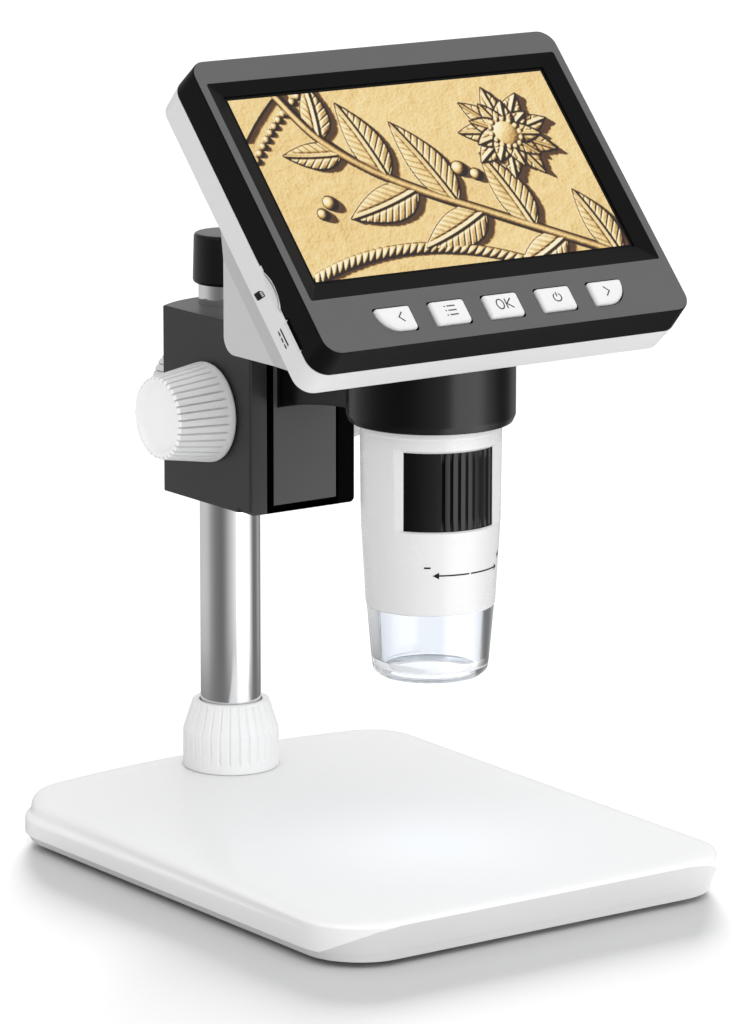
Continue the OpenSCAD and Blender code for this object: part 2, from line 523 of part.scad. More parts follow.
// ---------- optics ----------
win_z0 = 95.3; win_z1 = 115;
module barrel_shell() color(white) at_lens() difference() {
    rotate_extrude($fn = 96) polygon([[14.7, 74], [15.9, 74], [16.1, 74.3], [17.3, 95], [17.6, 118.3], [barrel_r, 118.7], [barrel_r, 147.9],
        [13.5, 147.9], [13.5, 145.4], [16.6, 145.4], [16.6, 92.9], [14.7, 92.9]]);
    // window over the focus wheel, from 60 degrees left of the front to 28 right
    translate([0, 0, win_z0]) rotate(-90 - 60) rotate_extrude(angle = 89) square([30, win_z1 - win_z0]);
    // shallow frame round the window
    rotate(-90 - 68) rotate_extrude(angle = 110) polygon([[17.0, win_z0 - 0.4], [20, win_z0 - 0.7], [20, win_z1 + 0.7], [17.0, win_z1 + 0.4]]);
    // guide grooves of the lens carriage
    for (a = [0, 180]) rotate(a) translate([13, -1.8, 76.4]) cube([2.3, 3.6, 17]);
    for (a = [30, 150, 90]) rotate(a) translate([15.4, 0, 140]) cylinder(r = 1.25, h = 12);
}
module barrel_screws() color(steel) at_lens() for (a = [30, 150, 90]) rotate(a) translate([15.4, 0, 145.4]) pan_screw(0.98, 1.15, 0.9, 5.2);
module retainer_ring() color(black) at_lens(117.5) difference() {
    cylinder(r = 16.55, h = 10.4);
    translate([0, 0, -1]) cylinder(r = 14.4, h = 20);
}
module sensor_board() color([0.05, 0.32, 0.16]) at_lens() {
    translate([0, 0, 127.9]) cylinder(r = 16.4, h = 1.4);
    translate([0, 0, 126.8]) linear_extrude(1.11) square(9, center = true);
}
module camera_flex() color([0.75, 0.5, 0.15]) translate([-6, lens_y - 0.2, 129.3]) cube([12, 0.4, 43]);
module led_board() color(white) at_lens(76.6) ring(14.5, 9, 1.2);
module leds() color([0.95, 0.95, 0.7]) at_lens(75.7) for (a = [0:45:359]) rotate(a) translate([11.8, 0, 0.45]) cube([3.2, 2.8, 0.9], center = true);
module clear_hood() color([0.85, 0.92, 0.98, 0.45]) at_lens() difference() {
    rotate_extrude($fn = 96) polygon([[11.2, 56.2], [12.4, 56.2], [13.3, 56.7], [14.1, 57.9], [14.6, 59.6], [15.85, 73.95], [14.65, 73.95], [14.65, 75.4], [13.3, 75.4],
        [13.2, 72], [12.5, 60.2], [12.1, 59.0], [11.2, 58.6]]);
}
module focus_wheel() color(black) at_lens() difference() {
    translate([0, 0, 93.2]) cylinder(r = 16.42, h = 24);
    translate([0, 0, 90]) cylinder(r = 13.6, h = 30);
    for (a = [0:7.5:359]) rotate(a) translate([16.62, 0, 94]) cylinder(r = 0.5, h = 22.4, $fn = 16);
}
module lens_carriage() color(black) at_lens() difference() {
    union() {
        translate([0, 0, 84]) cylinder(r = 13.52, h = 33);
        for (a = [0, 180]) rotate(a) translate([12, -1.5, 84]) cube([3.0, 3, 4.4]);
    }
    translate([0, 0, 90]) cylinder(r = 10.5, h = 40);
    translate([0, 0, 80]) cylinder(r = 6.05, h = 30);
    translate([0, 0, 83]) cylinder(r1 = 9.5, r2 = 6.05, h = 3.2);
}
module objective_lens() color([0.75, 0.85, 0.95, 0.6]) at_lens() intersection() {
    translate([0, 0, 86.4]) cylinder(r = 6.05, h = 3.4);
    translate([0, 0, 99.6]) sphere(r = 13.2);
}

// ---------- build ----------
base_shell();
base_plate_placed();  // base_plate
base_weight();
rubber_feet();
base_screws();
pole_socket();
socket_screws();
collar_collet();
collar_nut();
pole();
pole_cap();
pole_plug();
focus_housing();
pinion_bushes();
slide_gibs();
clamp_insert();
stop_screw();
clamp_pad();
clamp_screw();
clamp_knob();
pinion_shaft();
pinion_gear();
left_focus_knob();
right_focus_knob();
knob_screws();
friction_washers();
carriage();
rack();
rack_screws();
ring_arm();
arm_screws();
ring_liner();
front_bezel();
rear_shell();
lcd_panel();
lcd_tray();
main_board();
battery();
sd_slot();
power_socket();
tact_switches();
shell_screws();
barrel_shell();
barrel_screws();
retainer_ring();
sensor_board();
camera_flex();
led_board();
leds();
clear_hood();
key(0);  // key_prev
key(1);  // key_menu
key(2);  // key_ok
key(3);  // key_power
key(4);  // key_next
focus_wheel();
lens_carriage();
objective_lens();
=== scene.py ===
import json
import math

import bmesh
import bpy
import numpy as np
from mathutils import Matrix, Vector


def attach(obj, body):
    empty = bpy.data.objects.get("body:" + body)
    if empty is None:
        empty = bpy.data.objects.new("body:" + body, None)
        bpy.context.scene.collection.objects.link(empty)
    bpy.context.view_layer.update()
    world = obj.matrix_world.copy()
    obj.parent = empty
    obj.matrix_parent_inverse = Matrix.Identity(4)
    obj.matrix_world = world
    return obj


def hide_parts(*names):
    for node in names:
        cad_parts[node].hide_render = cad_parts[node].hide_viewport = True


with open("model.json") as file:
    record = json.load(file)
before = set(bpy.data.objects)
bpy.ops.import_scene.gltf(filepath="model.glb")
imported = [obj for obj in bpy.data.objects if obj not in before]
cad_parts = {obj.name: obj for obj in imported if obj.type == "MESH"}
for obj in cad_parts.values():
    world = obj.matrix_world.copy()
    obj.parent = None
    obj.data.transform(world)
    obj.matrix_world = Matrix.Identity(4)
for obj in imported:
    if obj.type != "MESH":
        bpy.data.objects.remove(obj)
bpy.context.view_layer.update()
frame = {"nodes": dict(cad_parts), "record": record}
NODES = frame["nodes"]
SC = bpy.context.scene
MM = 0.001

# ---------------------------------------------------------------- the object's own sizes, in mm
LENS_Y, POLE_Y = -29.9, 58.6
LCD_Z, TILT = 181.8, math.radians(46.8)
FRONT_Y = POLE_Y - 33.4
PIN_Y, PIN_Z = 43.4, 112.5
BASE_CY = -2.2
HX = 16.3
CT, ST = math.cos(TILT), math.sin(TILT)

IDENT = Matrix.Identity(4)
HEAD = Matrix.Translation((0, LENS_Y, LCD_Z)) @ Matrix.Rotation(TILT, 4, "X")
AT_LENS = Matrix.Translation((0, LENS_Y, 0))
AT_POLE = Matrix.Translation((0, POLE_Y, 0))


# ---------------------------------------------------------------- mesh helpers
def xf(V, M):
    A = np.array(M)
    return np.asarray(V, float) @ A[:3, :3].T + A[:3, 3]


def raw(name, V, F, M=IDENT):
    """A mesh object from millimetre points; faces are lists of indices."""
    me = bpy.data.meshes.new(name)
    me.from_pydata((xf(V, M) * MM).tolist(), [], [list(map(int, f)) for f in F])
    ob = bpy.data.objects.new(name, me)
    SC.collection.objects.link(ob)
    bm = bmesh.new()
    bm.from_mesh(me)
    bmesh.ops.remove_doubles(bm, verts=bm.verts, dist=1.5e-6)
    bmesh.ops.dissolve_degenerate(bm, dist=1e-7, edges=bm.edges)
    bmesh.ops.recalc_face_normals(bm, faces=bm.faces)
    bm.to_mesh(me)
    bm.free()
    return ob


def bake(ob):
    dg = bpy.context.evaluated_depsgraph_get()
    dg.update()
    me = bpy.data.meshes.new_from_object(ob.evaluated_get(dg), depsgraph=dg)
    old = ob.data
    ob.modifiers.clear()
    ob.data = me
    bpy.data.meshes.remove(old)
    return ob


def boolean(ob, others, op="DIFFERENCE"):
    for c in others:
        m = ob.modifiers.new("cut", "BOOLEAN")
        m.operation, m.solver, m.object = op, "EXACT", c
    bake(ob)
    for c in others:
        me = c.data
        bpy.data.objects.remove(c)
        bpy.data.meshes.remove(me)
    return ob


def shade(ob, angle=30.0, weighted=True):
    me = ob.data
    me.shade_smooth()
    me.set_sharp_from_angle(angle=math.radians(angle))
    if weighted:
        m = ob.modifiers.new("normals", "WEIGHTED_NORMAL")
        m.keep_sharp, m.weight = True, 60
    return ob


def strip_faces(na, nb, rows, cols, wrap=True):
    F = []
    for i in range(rows - 1):
        for j in range(cols if wrap else cols - 1):
            k = (j + 1) % cols
            F.append((i * cols + j, i * cols + k, (i + 1) * cols + k, (i + 1) * cols + j))
    return F


def loft(name, rings, M=IDENT, cap0=True, cap1=True, wrap=False):
    """Rings of equal length joined in order; wrap joins the last ring to the first."""
    n = len(rings[0])
    V = np.vstack(rings)
    F = strip_faces(0, 0, len(rings), n)
    if wrap:
        a = (len(rings) - 1) * n
        for j in range(n):
            k = (j + 1) % n
            F.append((a + j, a + k, k, j))
    else:
        if cap0:
            F.append(list(range(n))[::-1])
        if cap1:
            F.append([(len(rings) - 1) * n + j for j in range(n)])
    return raw(name, V, F, M)


def ring3(pts2, z):
    p = np.asarray(pts2, float)
    return np.column_stack([p, np.full(len(p), z)])


def rrect(w, h, r, k=10, cx=0.0, cy=0.0):
    """Rounded rectangle, counterclockwise; r is one radius or four (right-top, left-top, left-bottom, right-bottom)."""
    rs = r if isinstance(r, (tuple, list)) else (r,) * 4
    out = []
    for (sx, sy, a0), q in zip(((1, 1, 0), (-1, 1, 90), (-1, -1, 180), (1, -1, 270)), rs):
        q = max(q, 0.02)
        c = (cx + sx * (w / 2 - q), cy + sy * (h / 2 - q))
        for j in range(k + 1):
            a = math.radians(a0 + 90 * j / k)
            out.append((c[0] + q * math.cos(a), c[1] + q * math.sin(a)))
    return np.array(out)


def fillet(pts, step=12.0, closed=True):
    """Corner points (x, y) or (x, y, radius) with arcs at the corners."""
    out, n = [], len(pts)
    for i in range(n):
        p = np.array(pts[i][:2], float)
        r = pts[i][2] if len(pts[i]) > 2 else 0
        if r <= 0 or (not closed and i in (0, n - 1)):
            out.append(p)
            continue
        u = np.array(pts[i - 1][:2], float) - p
        v = np.array(pts[(i + 1) % n][:2], float) - p
        u, v = u / np.linalg.norm(u), v / np.linalg.norm(v)
        ang = math.acos(max(-1, min(1, float(u @ v))))
        t = r / math.tan(ang / 2)
        c = p + (u + v) / np.linalg.norm(u + v) * r / math.sin(ang / 2)
        p1, p2 = p + u * t, p + v * t
        a1 = math.atan2(*(p1 - c)[::-1])
        d = math.atan2(*(p2 - c)[::-1]) - a1
        d = (d + math.pi) % (2 * math.pi) - math.pi
        k = max(2, math.ceil(abs(math.degrees(d)) / step))
        for j in range(k + 1):
            a = a1 + d * j / k
            out.append(c + r * np.array((math.cos(a), math.sin(a))))
    return np.array(out)


def spline(pts, per=6):
    """Catmull-Rom curve through the points."""
    P = np.asarray(pts, float)
    Q = np.vstack([2 * P[0] - P[1], P, 2 * P[-1] - P[-2]])
    out = []
    for i in range(1, len(Q) - 2):
        a, b, c, d = Q[i - 1], Q[i], Q[i + 1], Q[i + 2]
        for j in range(per):
            t = j / per
            out.append(0.5 * (2 * b + (c - a) * t + (2 * a - 5 * b + 4 * c - d) * t * t + (3 * b - a - 3 * c + d) * t ** 3))
    out.append(P[-1])
    return np.array(out)


def lathe(name, prof, n=128, M=IDENT, rib=None):
    """Closed profile (r, z) turned round z. rib(theta, r, z) gives the radius at a point."""
    prof = np.asarray(prof, float)
    th = np.arange(n) * 2 * math.pi / n
    V = np.zeros((len(prof), n, 3))
    for i, (r, z) in enumerate(prof):
        rr = np.full(n, r) if rib is None or r < 0.01 else rib(th, r, z)
        V[i, :, 0], V[i, :, 1], V[i, :, 2] = rr * np.cos(th), rr * np.sin(th), z
    rows = len(prof)
    F = strip_faces(0, 0, rows, n)
    a = (rows - 1) * n
    if not (prof[0, 0] < 0.01 and prof[-1, 0] < 0.01):
        for j in range(n):
            k = (j + 1) % n
            F.append((a + j, a + k, k, j))
    return raw(name, V.reshape(-1, 3), F, M)


def offset(poly, d):
    """Each vertex moved inwards by d, for a counterclockwise polygon."""
    P = np.asarray(poly, float)
    e = np.roll(P, -1, 0) - P
    e /= np.linalg.norm(e, axis=1)[:, None]
    nrm = np.column_stack([-e[:, 1], e[:, 0]])
    n1, n2 = np.roll(nrm, 1, 0), nrm
    m = (n1 + n2) / (1 + np.sum(n1 * n2, 1))[:, None]
    return P + d * m


def prism(name, poly, h0, h1, b0=0.4, b1=0.4, k=3, M=IDENT):
    """Extruded counterclockwise polygon with rounded end edges."""
    P = np.asarray(poly, float)
    rings = []
    for j in range(k + 1):
        t = j / k * math.pi / 2
        rings.append(ring3(offset(P, b0 * (1 - math.sin(t))) if b0 else P, h0 + b0 * (1 - math.cos(t))))
        if not b0:
            break
    for j in range(k + 1):
        t = j / k * math.pi / 2
        rings.append(ring3(offset(P, b1 * (1 - math.cos(t))) if b1 else P, h1 - b1 + b1 * math.sin(t)))
        if not b1:
            break
    return loft(name, rings, M)


def tube(r, z0, z1, n=96, M=IDENT, name="cutter"):
    return lathe(name, [(0, z0), (r, z0), (r, z1), (0, z1)], n, M)


def block(x0, x1, y0, y1, z0, z1, M=IDENT, name="cutter"):
    return prism(name, [(x0, y0), (x1, y0), (x1, y1), (x0, y1)], z0, z1, 0, 0, 1, M)


# x along the prism axis, profile given as (y, z)
SIDE = Matrix(((0, 0, 1, 0), (1, 0, 0, 0), (0, 1, 0, 0), (0, 0, 0, 1)))


# ---------------------------------------------------------------- materials
def mat(name, base, rough=0.35, var=0.04, rvar=0.06, grain=2600.0, bump=0.05, depth=0.00004, spec=0.5, metal=0.0, coat=0.0,
        mottle=90.0, stretch=None, extra=None, ior=1.5):
    """A principled material whose colour, roughness and surface vary with solid noise."""
    m = bpy.data.materials.new(name)
    m.use_nodes = True
    nt = m.node_tree
    N, L = nt.nodes, nt.links
    b = N["Principled BSDF"]
    b.inputs["Metallic"].default_value = metal
    b.inputs["Specular IOR Level"].default_value = spec
    b.inputs["IOR"].default_value = ior
    if coat:
        b.inputs["Coat Weight"].default_value = coat
        b.inputs["Coat Roughness"].default_value = 0.08
    tc = N.new("ShaderNodeTexCoord")
    mp = N.new("ShaderNodeMapping")
    mp.inputs["Scale"].default_value = stretch or (1, 1, 1)
    L.new(tc.outputs["Object"], mp.inputs["Vector"])
    big = N.new("ShaderNodeTexNoise")
    big.inputs["Scale"].default_value = mottle
    big.inputs["Detail"].default_value = 4
    L.new(mp.outputs["Vector"], big.inputs["Vector"])
    fine = N.new("ShaderNodeTexNoise")
    fine.inputs["Scale"].default_value = grain
    fine.inputs["Detail"].default_value = 3
    L.new(mp.outputs["Vector"], fine.inputs["Vector"])
    ramp = N.new("ShaderNodeMix")
    ramp.data_type = "RGBA"
    c = np.array(base, float)
    ramp.inputs[6].default_value = (*np.clip(c * (1 - var), 0, 1), 1)
    ramp.inputs[7].default_value = (*np.clip(c * (1 + var), 0, 1), 1)
    L.new(big.outputs["Fac"], ramp.inputs[0])
    L.new(ramp.outputs[2], b.inputs["Base Color"])
    add = N.new("ShaderNodeMath")
    add.operation = "ADD"
    L.new(big.outputs["Fac"], add.inputs[0])
    L.new(fine.outputs["Fac"], add.inputs[1])
    rr = N.new("ShaderNodeMapRange")
    rr.inputs["From Min"].default_value, rr.inputs["From Max"].default_value = 0.5, 1.5
    rr.inputs["To Min"].default_value, rr.inputs["To Max"].default_value = max(0.02, rough - rvar), rough + rvar
    L.new(add.outputs[0], rr.inputs["Value"])
    L.new(rr.outputs["Result"], b.inputs["Roughness"])
    if bump:
        bp = N.new("ShaderNodeBump")
        bp.inputs["Strength"].default_value = bump
        bp.inputs["Distance"].default_value = depth
        L.new(fine.outputs["Fac"], bp.inputs["Height"])
        L.new(bp.outputs["Normal"], b.inputs["Normal"])
        if coat:
            L.new(bp.outputs["Normal"], b.inputs["Coat Normal"])
    if extra:
        extra(nt, b, tc)
    return m


def board_traces(nt, b, tc):
    """Copper traces and pads under the solder mask."""
    N, L = nt.nodes, nt.links
    br = N.new("ShaderNodeTexBrick")
    br.inputs["Scale"].default_value = 260
    br.inputs["Color1"].default_value = (0.004, 0.085, 0.03, 1)
    br.inputs["Color2"].default_value = (0.006, 0.12, 0.045, 1)
    br.inputs["Mortar"].default_value = (0.03, 0.22, 0.09, 1)
    br.inputs["Mortar Size"].default_value = 0.06
    L.new(tc.outputs["Object"], br.inputs["Vector"])
    L.new(br.outputs["Color"], b.inputs["Base Color"])


def glassy(name, tint, rough=0.02, ior=1.49, weight=1.0):
    m = mat(name, tint, rough=rough, var=0.004, rvar=0.012, bump=0.02, depth=0.00001, ior=ior, grain=900)
    b = m.node_tree.nodes["Principled BSDF"]
    b.inputs["Transmission Weight"].default_value = weight
    return m


def emitter(name, color, strength):
    m = mat(name, (0.85, 0.85, 0.8), rough=0.4)
    b = m.node_tree.nodes["Principled BSDF"]
    b.inputs["Emission Color"].default_value = (*color, 1)
    b.inputs["Emission Strength"].default_value = strength
    return m


M_WHITE = mat("white_plastic", (0.80, 0.80, 0.805), rough=0.33, rvar=0.05, var=0.012, bump=0.06, spec=0.4)
M_BASE = mat("white_gloss", (0.85, 0.85, 0.85), rough=0.3, rvar=0.012, var=0.003, bump=0.008, spec=0.35, mottle=40)
# painted shade: a darker copy of the white for the base plate and the base's downward-facing front facet
M_PLATE_SHADE = mat("white_plate_painted_shade", (0.70, 0.70, 0.702), rough=0.34, rvar=0.05, var=0.010, bump=0.05, spec=0.3)
M_SHELL = mat("white_shell", (0.74, 0.74, 0.745), rough=0.36, rvar=0.05, var=0.012, bump=0.08, spec=0.35)
# painted shade: the next two are darker copies of the shell white, for the wedge's sides and, as a painted shadow of
# the slab's edge, the strip along the crease
M_WEDGE_SHADE = mat("white_wedge_painted_shade", (0.57, 0.57, 0.578), rough=0.42, rvar=0.05, var=0.012, bump=0.10, spec=0.3)
M_CREASE_SHADOW = mat("white_crease_painted_shadow", (0.49, 0.49, 0.496), rough=0.45, rvar=0.05, var=0.012, bump=0.10, spec=0.3)
M_BARREL = mat("white_barrel", (0.755, 0.755, 0.76), rough=0.26, rvar=0.05, var=0.010, bump=0.04, spec=0.45)
M_NUT = mat("white_nut", (0.93, 0.93, 0.93), rough=0.38, rvar=0.05, var=0.010, bump=0.06, spec=0.35)
# painted shade: a darker copy of the knob white for the knobs' ribbed sides
M_RIB_SHADE = mat("white_knob_side_painted_shade", (0.70, 0.70, 0.702), rough=0.42, rvar=0.06, var=0.012, bump=0.08, spec=0.3)
M_KNOB = mat("white_knob", (0.88, 0.88, 0.88), rough=0.4, rvar=0.06, var=0.012, bump=0.08, spec=0.35)
M_KEY = mat("white_key", (0.80, 0.80, 0.80), rough=0.38, rvar=0.05, var=0.012, bump=0.10, spec=0.4, grain=3500)
M_BLACK = mat("black_satin", (0.006, 0.006, 0.0065), rough=0.30, rvar=0.05, var=0.15, bump=0.05, spec=0.26)
M_HOUSE = mat("black_coat", (0.032, 0.032, 0.033), rough=0.36, rvar=0.05, var=0.10, bump=0.12, grain=3200, spec=0.26)
# painted shade: a near-black with hardly any sheen, put on the focus housing's channel and right wing, the carriage's
# sides and the supply socket's mouth
M_SHADE_BLACK = mat("black_painted_shade", (0.0016, 0.0016, 0.0018), rough=0.55, rvar=0.05, var=0.15, bump=0.06, spec=0.012)
M_GLOSSBLACK = mat("black_gloss", (0.002, 0.002, 0.0022), rough=0.2, rvar=0.03, var=0.15, bump=0.03, spec=0.27)
M_FACE = mat("bezel_face", (0.105, 0.105, 0.106), rough=0.42, rvar=0.05, var=0.05, bump=0.16, grain=3800, spec=0.27)
M_SIDE = mat("bezel_side", (0.006, 0.006, 0.0063), rough=0.38, rvar=0.05, var=0.15, bump=0.08, grain=3400, spec=0.045)
M_CARR = mat("carriage_grey", (0.086, 0.086, 0.088), rough=0.5, rvar=0.05, var=0.05, bump=0.16, grain=3600, spec=0.27)
M_STEEL = mat("brushed_steel", (0.62, 0.62, 0.63), rough=0.28, rvar=0.08, metal=1.0, var=0.05, bump=0.12, grain=1200)
M_CHROME = mat("polished_steel", (0.80, 0.80, 0.805), rough=0.085, rvar=0.03, metal=1.0, var=0.02, bump=0.03, grain=900,
               stretch=(1, 1, 0.03), depth=0.00001)
M_BRASS = mat("brass", (0.72, 0.50, 0.20), rough=0.26, rvar=0.08, metal=1.0, var=0.08, bump=0.08, grain=1600)
M_RUBBER = mat("rubber", (0.018, 0.018, 0.018), rough=0.75, rvar=0.08, var=0.2, bump=0.3, grain=2200, spec=0.3)
M_NYLON = mat("nylon", (0.70, 0.70, 0.66), rough=0.5, rvar=0.06, var=0.03, bump=0.1)
M_BOARD = mat("circuit_board", (0.005, 0.10, 0.04), rough=0.35, extra=board_traces, bump=0.05)
M_WBOARD = mat("white_board", (0.78, 0.78, 0.77), rough=0.4, var=0.02, bump=0.08)
M_CELL = mat("cell_wrap", (0.10, 0.20, 0.42), rough=0.4, var=0.08, bump=0.15, mottle=60)
M_FLEX = mat("flex", (0.42, 0.20, 0.04), rough=0.35, var=0.1, metal=0.2)
M_CLEAR = glassy("clear_plastic", (0.885, 0.912, 0.95), rough=0.03, ior=1.42)
M_LENS = glassy("lens_glass", (0.93, 0.96, 0.99), rough=0.02, ior=1.52)
M_LED = emitter("led", (0.72, 0.86, 1.0), 6.0)
M_GLASSBLACK = mat("screen_glass", (0.004, 0.004, 0.0045), rough=0.16, rvar=0.03, var=0.1, bump=0.02, spec=0.06)
M_INK = mat("ink", (0.03, 0.03, 0.032), rough=0.5, rvar=0.05, var=0.2, bump=0.06)
M_INKBLACK = mat("ink_black", (0.005, 0.005, 0.0055), rough=0.5, rvar=0.05, var=0.2, bump=0.05, spec=0.15)

SLOT_MAT = {
    "white_plastic": M_WHITE, "steel": M_STEEL, "polished_steel": M_CHROME, "rubber": M_RUBBER, "nylon": M_NYLON,
    "black_plastic": M_BLACK, "carriage_grey": M_CARR, "bezel_grey": M_SIDE, "brass": M_BRASS, "screen": M_GLASSBLACK,
    "circuit_board": M_BOARD, "white_board": M_WBOARD, "led": M_LED, "cell": M_CELL, "flex": M_FLEX,
    "clear_plastic": M_CLEAR, "lens_glass": M_LENS,
}
SLOT_OF = {}
for m in frame["record"].get("subparts", []):
    SLOT_OF[m.get("node")] = m.get("material_slot")


def set_mat(ob, *ms):
    ob.data.materials.clear()
    for m in ms:
        ob.data.materials.append(m)


def mat_for_cad(name, ob):
    """CAD nodes keep their shape and get the material of their slot."""
    slot = SLOT_OF.get(name)
    m = SLOT_MAT.get(slot)
    if m is None:
        for s in ob.material_slots:
            key = (s.material.name if s.material else "").split(".")[0]
            m = SLOT_MAT.get(key) or m
    if m is None:
        m = M_STEEL
    for s in ob.material_slots:
        s.material = m
    if not ob.material_slots:
        ob.data.materials.append(m)


for n, o in NODES.items():
    mat_for_cad(n, o)


def place(ob, body, slot, *ms, replaces=()):
    set_mat(ob, *ms)
    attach(ob, body)
    if replaces:
        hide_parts(*replaces)
    return ob


# ---------------------------------------------------------------- camera, lights and floor
def add_camera():
    cd = bpy.data.cameras.new("camera")
    cam = bpy.data.objects.new("camera", cd)
    SC.collection.objects.link(cam)
    r, u, b = (0.812725, -0.582647, 0.000778), (0.121833, 0.171248, 0.977666), (-0.569768, -0.794479, 0.210163)
    M = Matrix(((r[0], u[0], b[0], -0.79311), (r[1], u[1], b[1], -1.10981), (r[2], u[2], b[2], 0.38490), (0, 0, 0, 1)))
    cam.matrix_world = M
    cd.sensor_fit, cd.sensor_width, cd.sensor_height = "AUTO", 36, 24
    cd.lens = 194.43
    cd.clip_start, cd.clip_end = 0.02, 60
    SC.camera = cam


add_camera()
SC.view_settings.view_transform = "Standard"
SC.view_settings.look = "None"

CAM_AZ = math.degrees(math.atan2(-0.794479, -0.569768))  # the way the studio's front faces


WHITES = {"names": ("base_shell_v", "base_plate_v", "collar_nut_v", "left_focus_knob_v", "right_focus_knob_v", "clamp_knob_v", "rear_shell_v", "barrel_shell_v")}
FILLED = {"names": ("base_shell_v", "base_plate_v", "left_focus_knob_v")}


def studio():
    w = bpy.data.worlds.new("studio")
    SC.world = w
    w.use_nodes = True
    nt = w.node_tree
    N, L = nt.nodes, nt.links
    bg = N["Background"]
    tc = N.new("ShaderNodeTexCoord")
    sep = N.new("ShaderNodeSeparateXYZ")
    L.new(tc.outputs["Generated"], sep.inputs[0])

    def lobe(dx, dy, dz, lo, hi, power):
        v = N.new("ShaderNodeVectorMath")
        v.operation = "DOT_PRODUCT"
        d = Vector((dx, dy, dz)).normalized()
        v.inputs[1].default_value = d
        L.new(tc.outputs["Generated"], v.inputs[0])
        mr = N.new("ShaderNodeMapRange")
        mr.interpolation_type = "SMOOTHSTEP"
        mr.inputs["From Min"].default_value, mr.inputs["From Max"].default_value = lo, hi
        mr.inputs["To Min"].default_value, mr.inputs["To Max"].default_value = 0.0, power
        L.new(v.outputs["Value"], mr.inputs["Value"])
        return mr.outputs["Result"]

    def direction(phi, elev):
        a = math.radians(CAM_AZ + phi)
        e = math.radians(elev)
        return math.cos(a) * math.cos(e), math.sin(a) * math.cos(e), math.sin(e)

    right = lobe(*direction(22, 15), 0.2, 1.0, 0.85)
    top = lobe(0, 0, 1, 0.1, 0.95, 1.0)
    back = lobe(*direction(180, 45), 0.2, 1.0, 0.4)
    s1 = N.new("ShaderNodeMath")
    s1.operation = "ADD"
    L.new(right, s1.inputs[0])
    L.new(top, s1.inputs[1])
    s2 = N.new("ShaderNodeMath")
    s2.operation = "ADD"
    L.new(s1.outputs[0], s2.inputs[0])
    L.new(back, s2.inputs[1])
    s3 = N.new("ShaderNodeMath")
    s3.operation = "ADD"
    L.new(s2.outputs[0], s3.inputs[0])
    s3.inputs[1].default_value = 0.05
    L.new(s3.outputs[0], bg.inputs["Strength"])
    bg.inputs["Color"].default_value = (1, 1, 1, 1)

    # pale floor
    S = 14.0
    me = bpy.data.meshes.new("floor")
    me.from_pydata([(-S, -S, -0.0005), (S, -S, -0.0005), (S, S, -0.0005), (-S, S, -0.0005)], [], [(0, 1, 2, 3)])
    fl = bpy.data.objects.new("floor", me)
    SC.collection.objects.link(fl)
    m = mat("floor_paper", (0.58, 0.58, 0.58), rough=0.9, rvar=0.03, var=0.004, bump=0.0, spec=0.0, mottle=3)
    me.materials.append(m)

    # a wide low lamp behind the set that lights the floor alone
    ld = bpy.data.lights.new("floor_lamp", "SUN")
    ld.angle = math.radians(22)
    ld.energy = 12.0
    lo = bpy.data.objects.new("floor_lamp", ld)
    pos = Vector(direction(180, 13)) * 1.5
    lo.location = pos
    lo.rotation_euler = pos.to_track_quat("Z", "Y").to_euler()
    SC.collection.objects.link(lo)
    lo.visible_camera = False
    lo.visible_glossy = False
    only = bpy.data.collections.new("lit_by_floor_lamp")
    only.objects.link(fl)
    lo.light_linking.receiver_collection = only

    # a soft key from the front right and a soft fill from the left, for the white mouldings
    for name, az, el, ang, power, parts in (("white_key", 34, 4, 50, 0.75, WHITES), ("white_fill", -56, 2, 60, 0.45, FILLED)):
        ld = bpy.data.lights.new(name, "SUN")
        ld.angle, ld.energy = math.radians(ang), power
        lo = bpy.data.objects.new(name, ld)
        pos = Vector(direction(az, el)) * 1.5
        lo.location = pos
        lo.rotation_euler = pos.to_track_quat("Z", "Y").to_euler()
        SC.collection.objects.link(lo)
        lo.visible_camera = False
        lo.visible_glossy = False
        parts["collection"] = bpy.data.collections.new("lit_by_" + name)
        lo.light_linking.receiver_collection = parts["collection"]

    # reflector tent, seen only by glossy reflections: soft boxes and dark flags round the set
    nphi, nel = 180, 40
    R = 0.9
    # brightness round the horizon, from the left-back through the front to the right-back
    A = [(-180, 0.55), (-142, 0.62), (-125, 0.66), (-110, 0.65), (-93, 0.585), (-81, 0.44), (-73, 0.35), (-55, 0.222), (-38, 0.175), (-30, 0.18),
         (-23, 0.212), (-14, 0.32), (-7.5, 0.44), (0, 0.56), (7.5, 0.69), (15, 0.84), (23, 1.0), (26, 1.5), (30, 2.8), (34, 3.6), (62, 3.6), (67, 2.9),
         (73, 1.9), (77, 1.3), (82, 1.0), (87, 0.7), (93, 0.355), (98, 0.21), (104, 0.18), (111, 0.195), (118, 0.225), (125, 0.36), (134, 0.45),
         (145, 0.29), (161, 0.28), (180, 0.4)]
    ax, ay = zip(*A)
    V, C, F = [], [], []
    els = list(np.linspace(0, 90, nel))
    for e in els:
        for j in range(nphi):
            phi = -180 + 360 * j / nphi
            a = math.radians(CAM_AZ + phi)
            er = math.radians(e)
            V.append((R * math.cos(a) * math.cos(er), POLE_Y * MM + R * math.sin(a) * math.cos(er), R * math.sin(er) + 0.0004))
            h = float(np.interp(phi, ax, ay))
            up = min(1.0, max(0.0, (e - 2) / 30.0))
            up = up * up * (3 - 2 * up)
            dome = 0.75 + 0.35 * math.cos(math.radians(phi - 80))
            back_wall = 1.15 * math.exp(-(((abs(phi) - 180) / 60.0) ** 2)) * min(1.0, e / 6.0)
            v = h * (1 - up) + dome * up
            v = max(v, back_wall * (1 - up * 0.4))
            C.append(v)
    for i in range(nel - 1):
        for j in range(nphi):
            k = (j + 1) % nphi
            F.append((i * nphi + j, i * nphi + k, (i + 1) * nphi + k, (i + 1) * nphi + j))
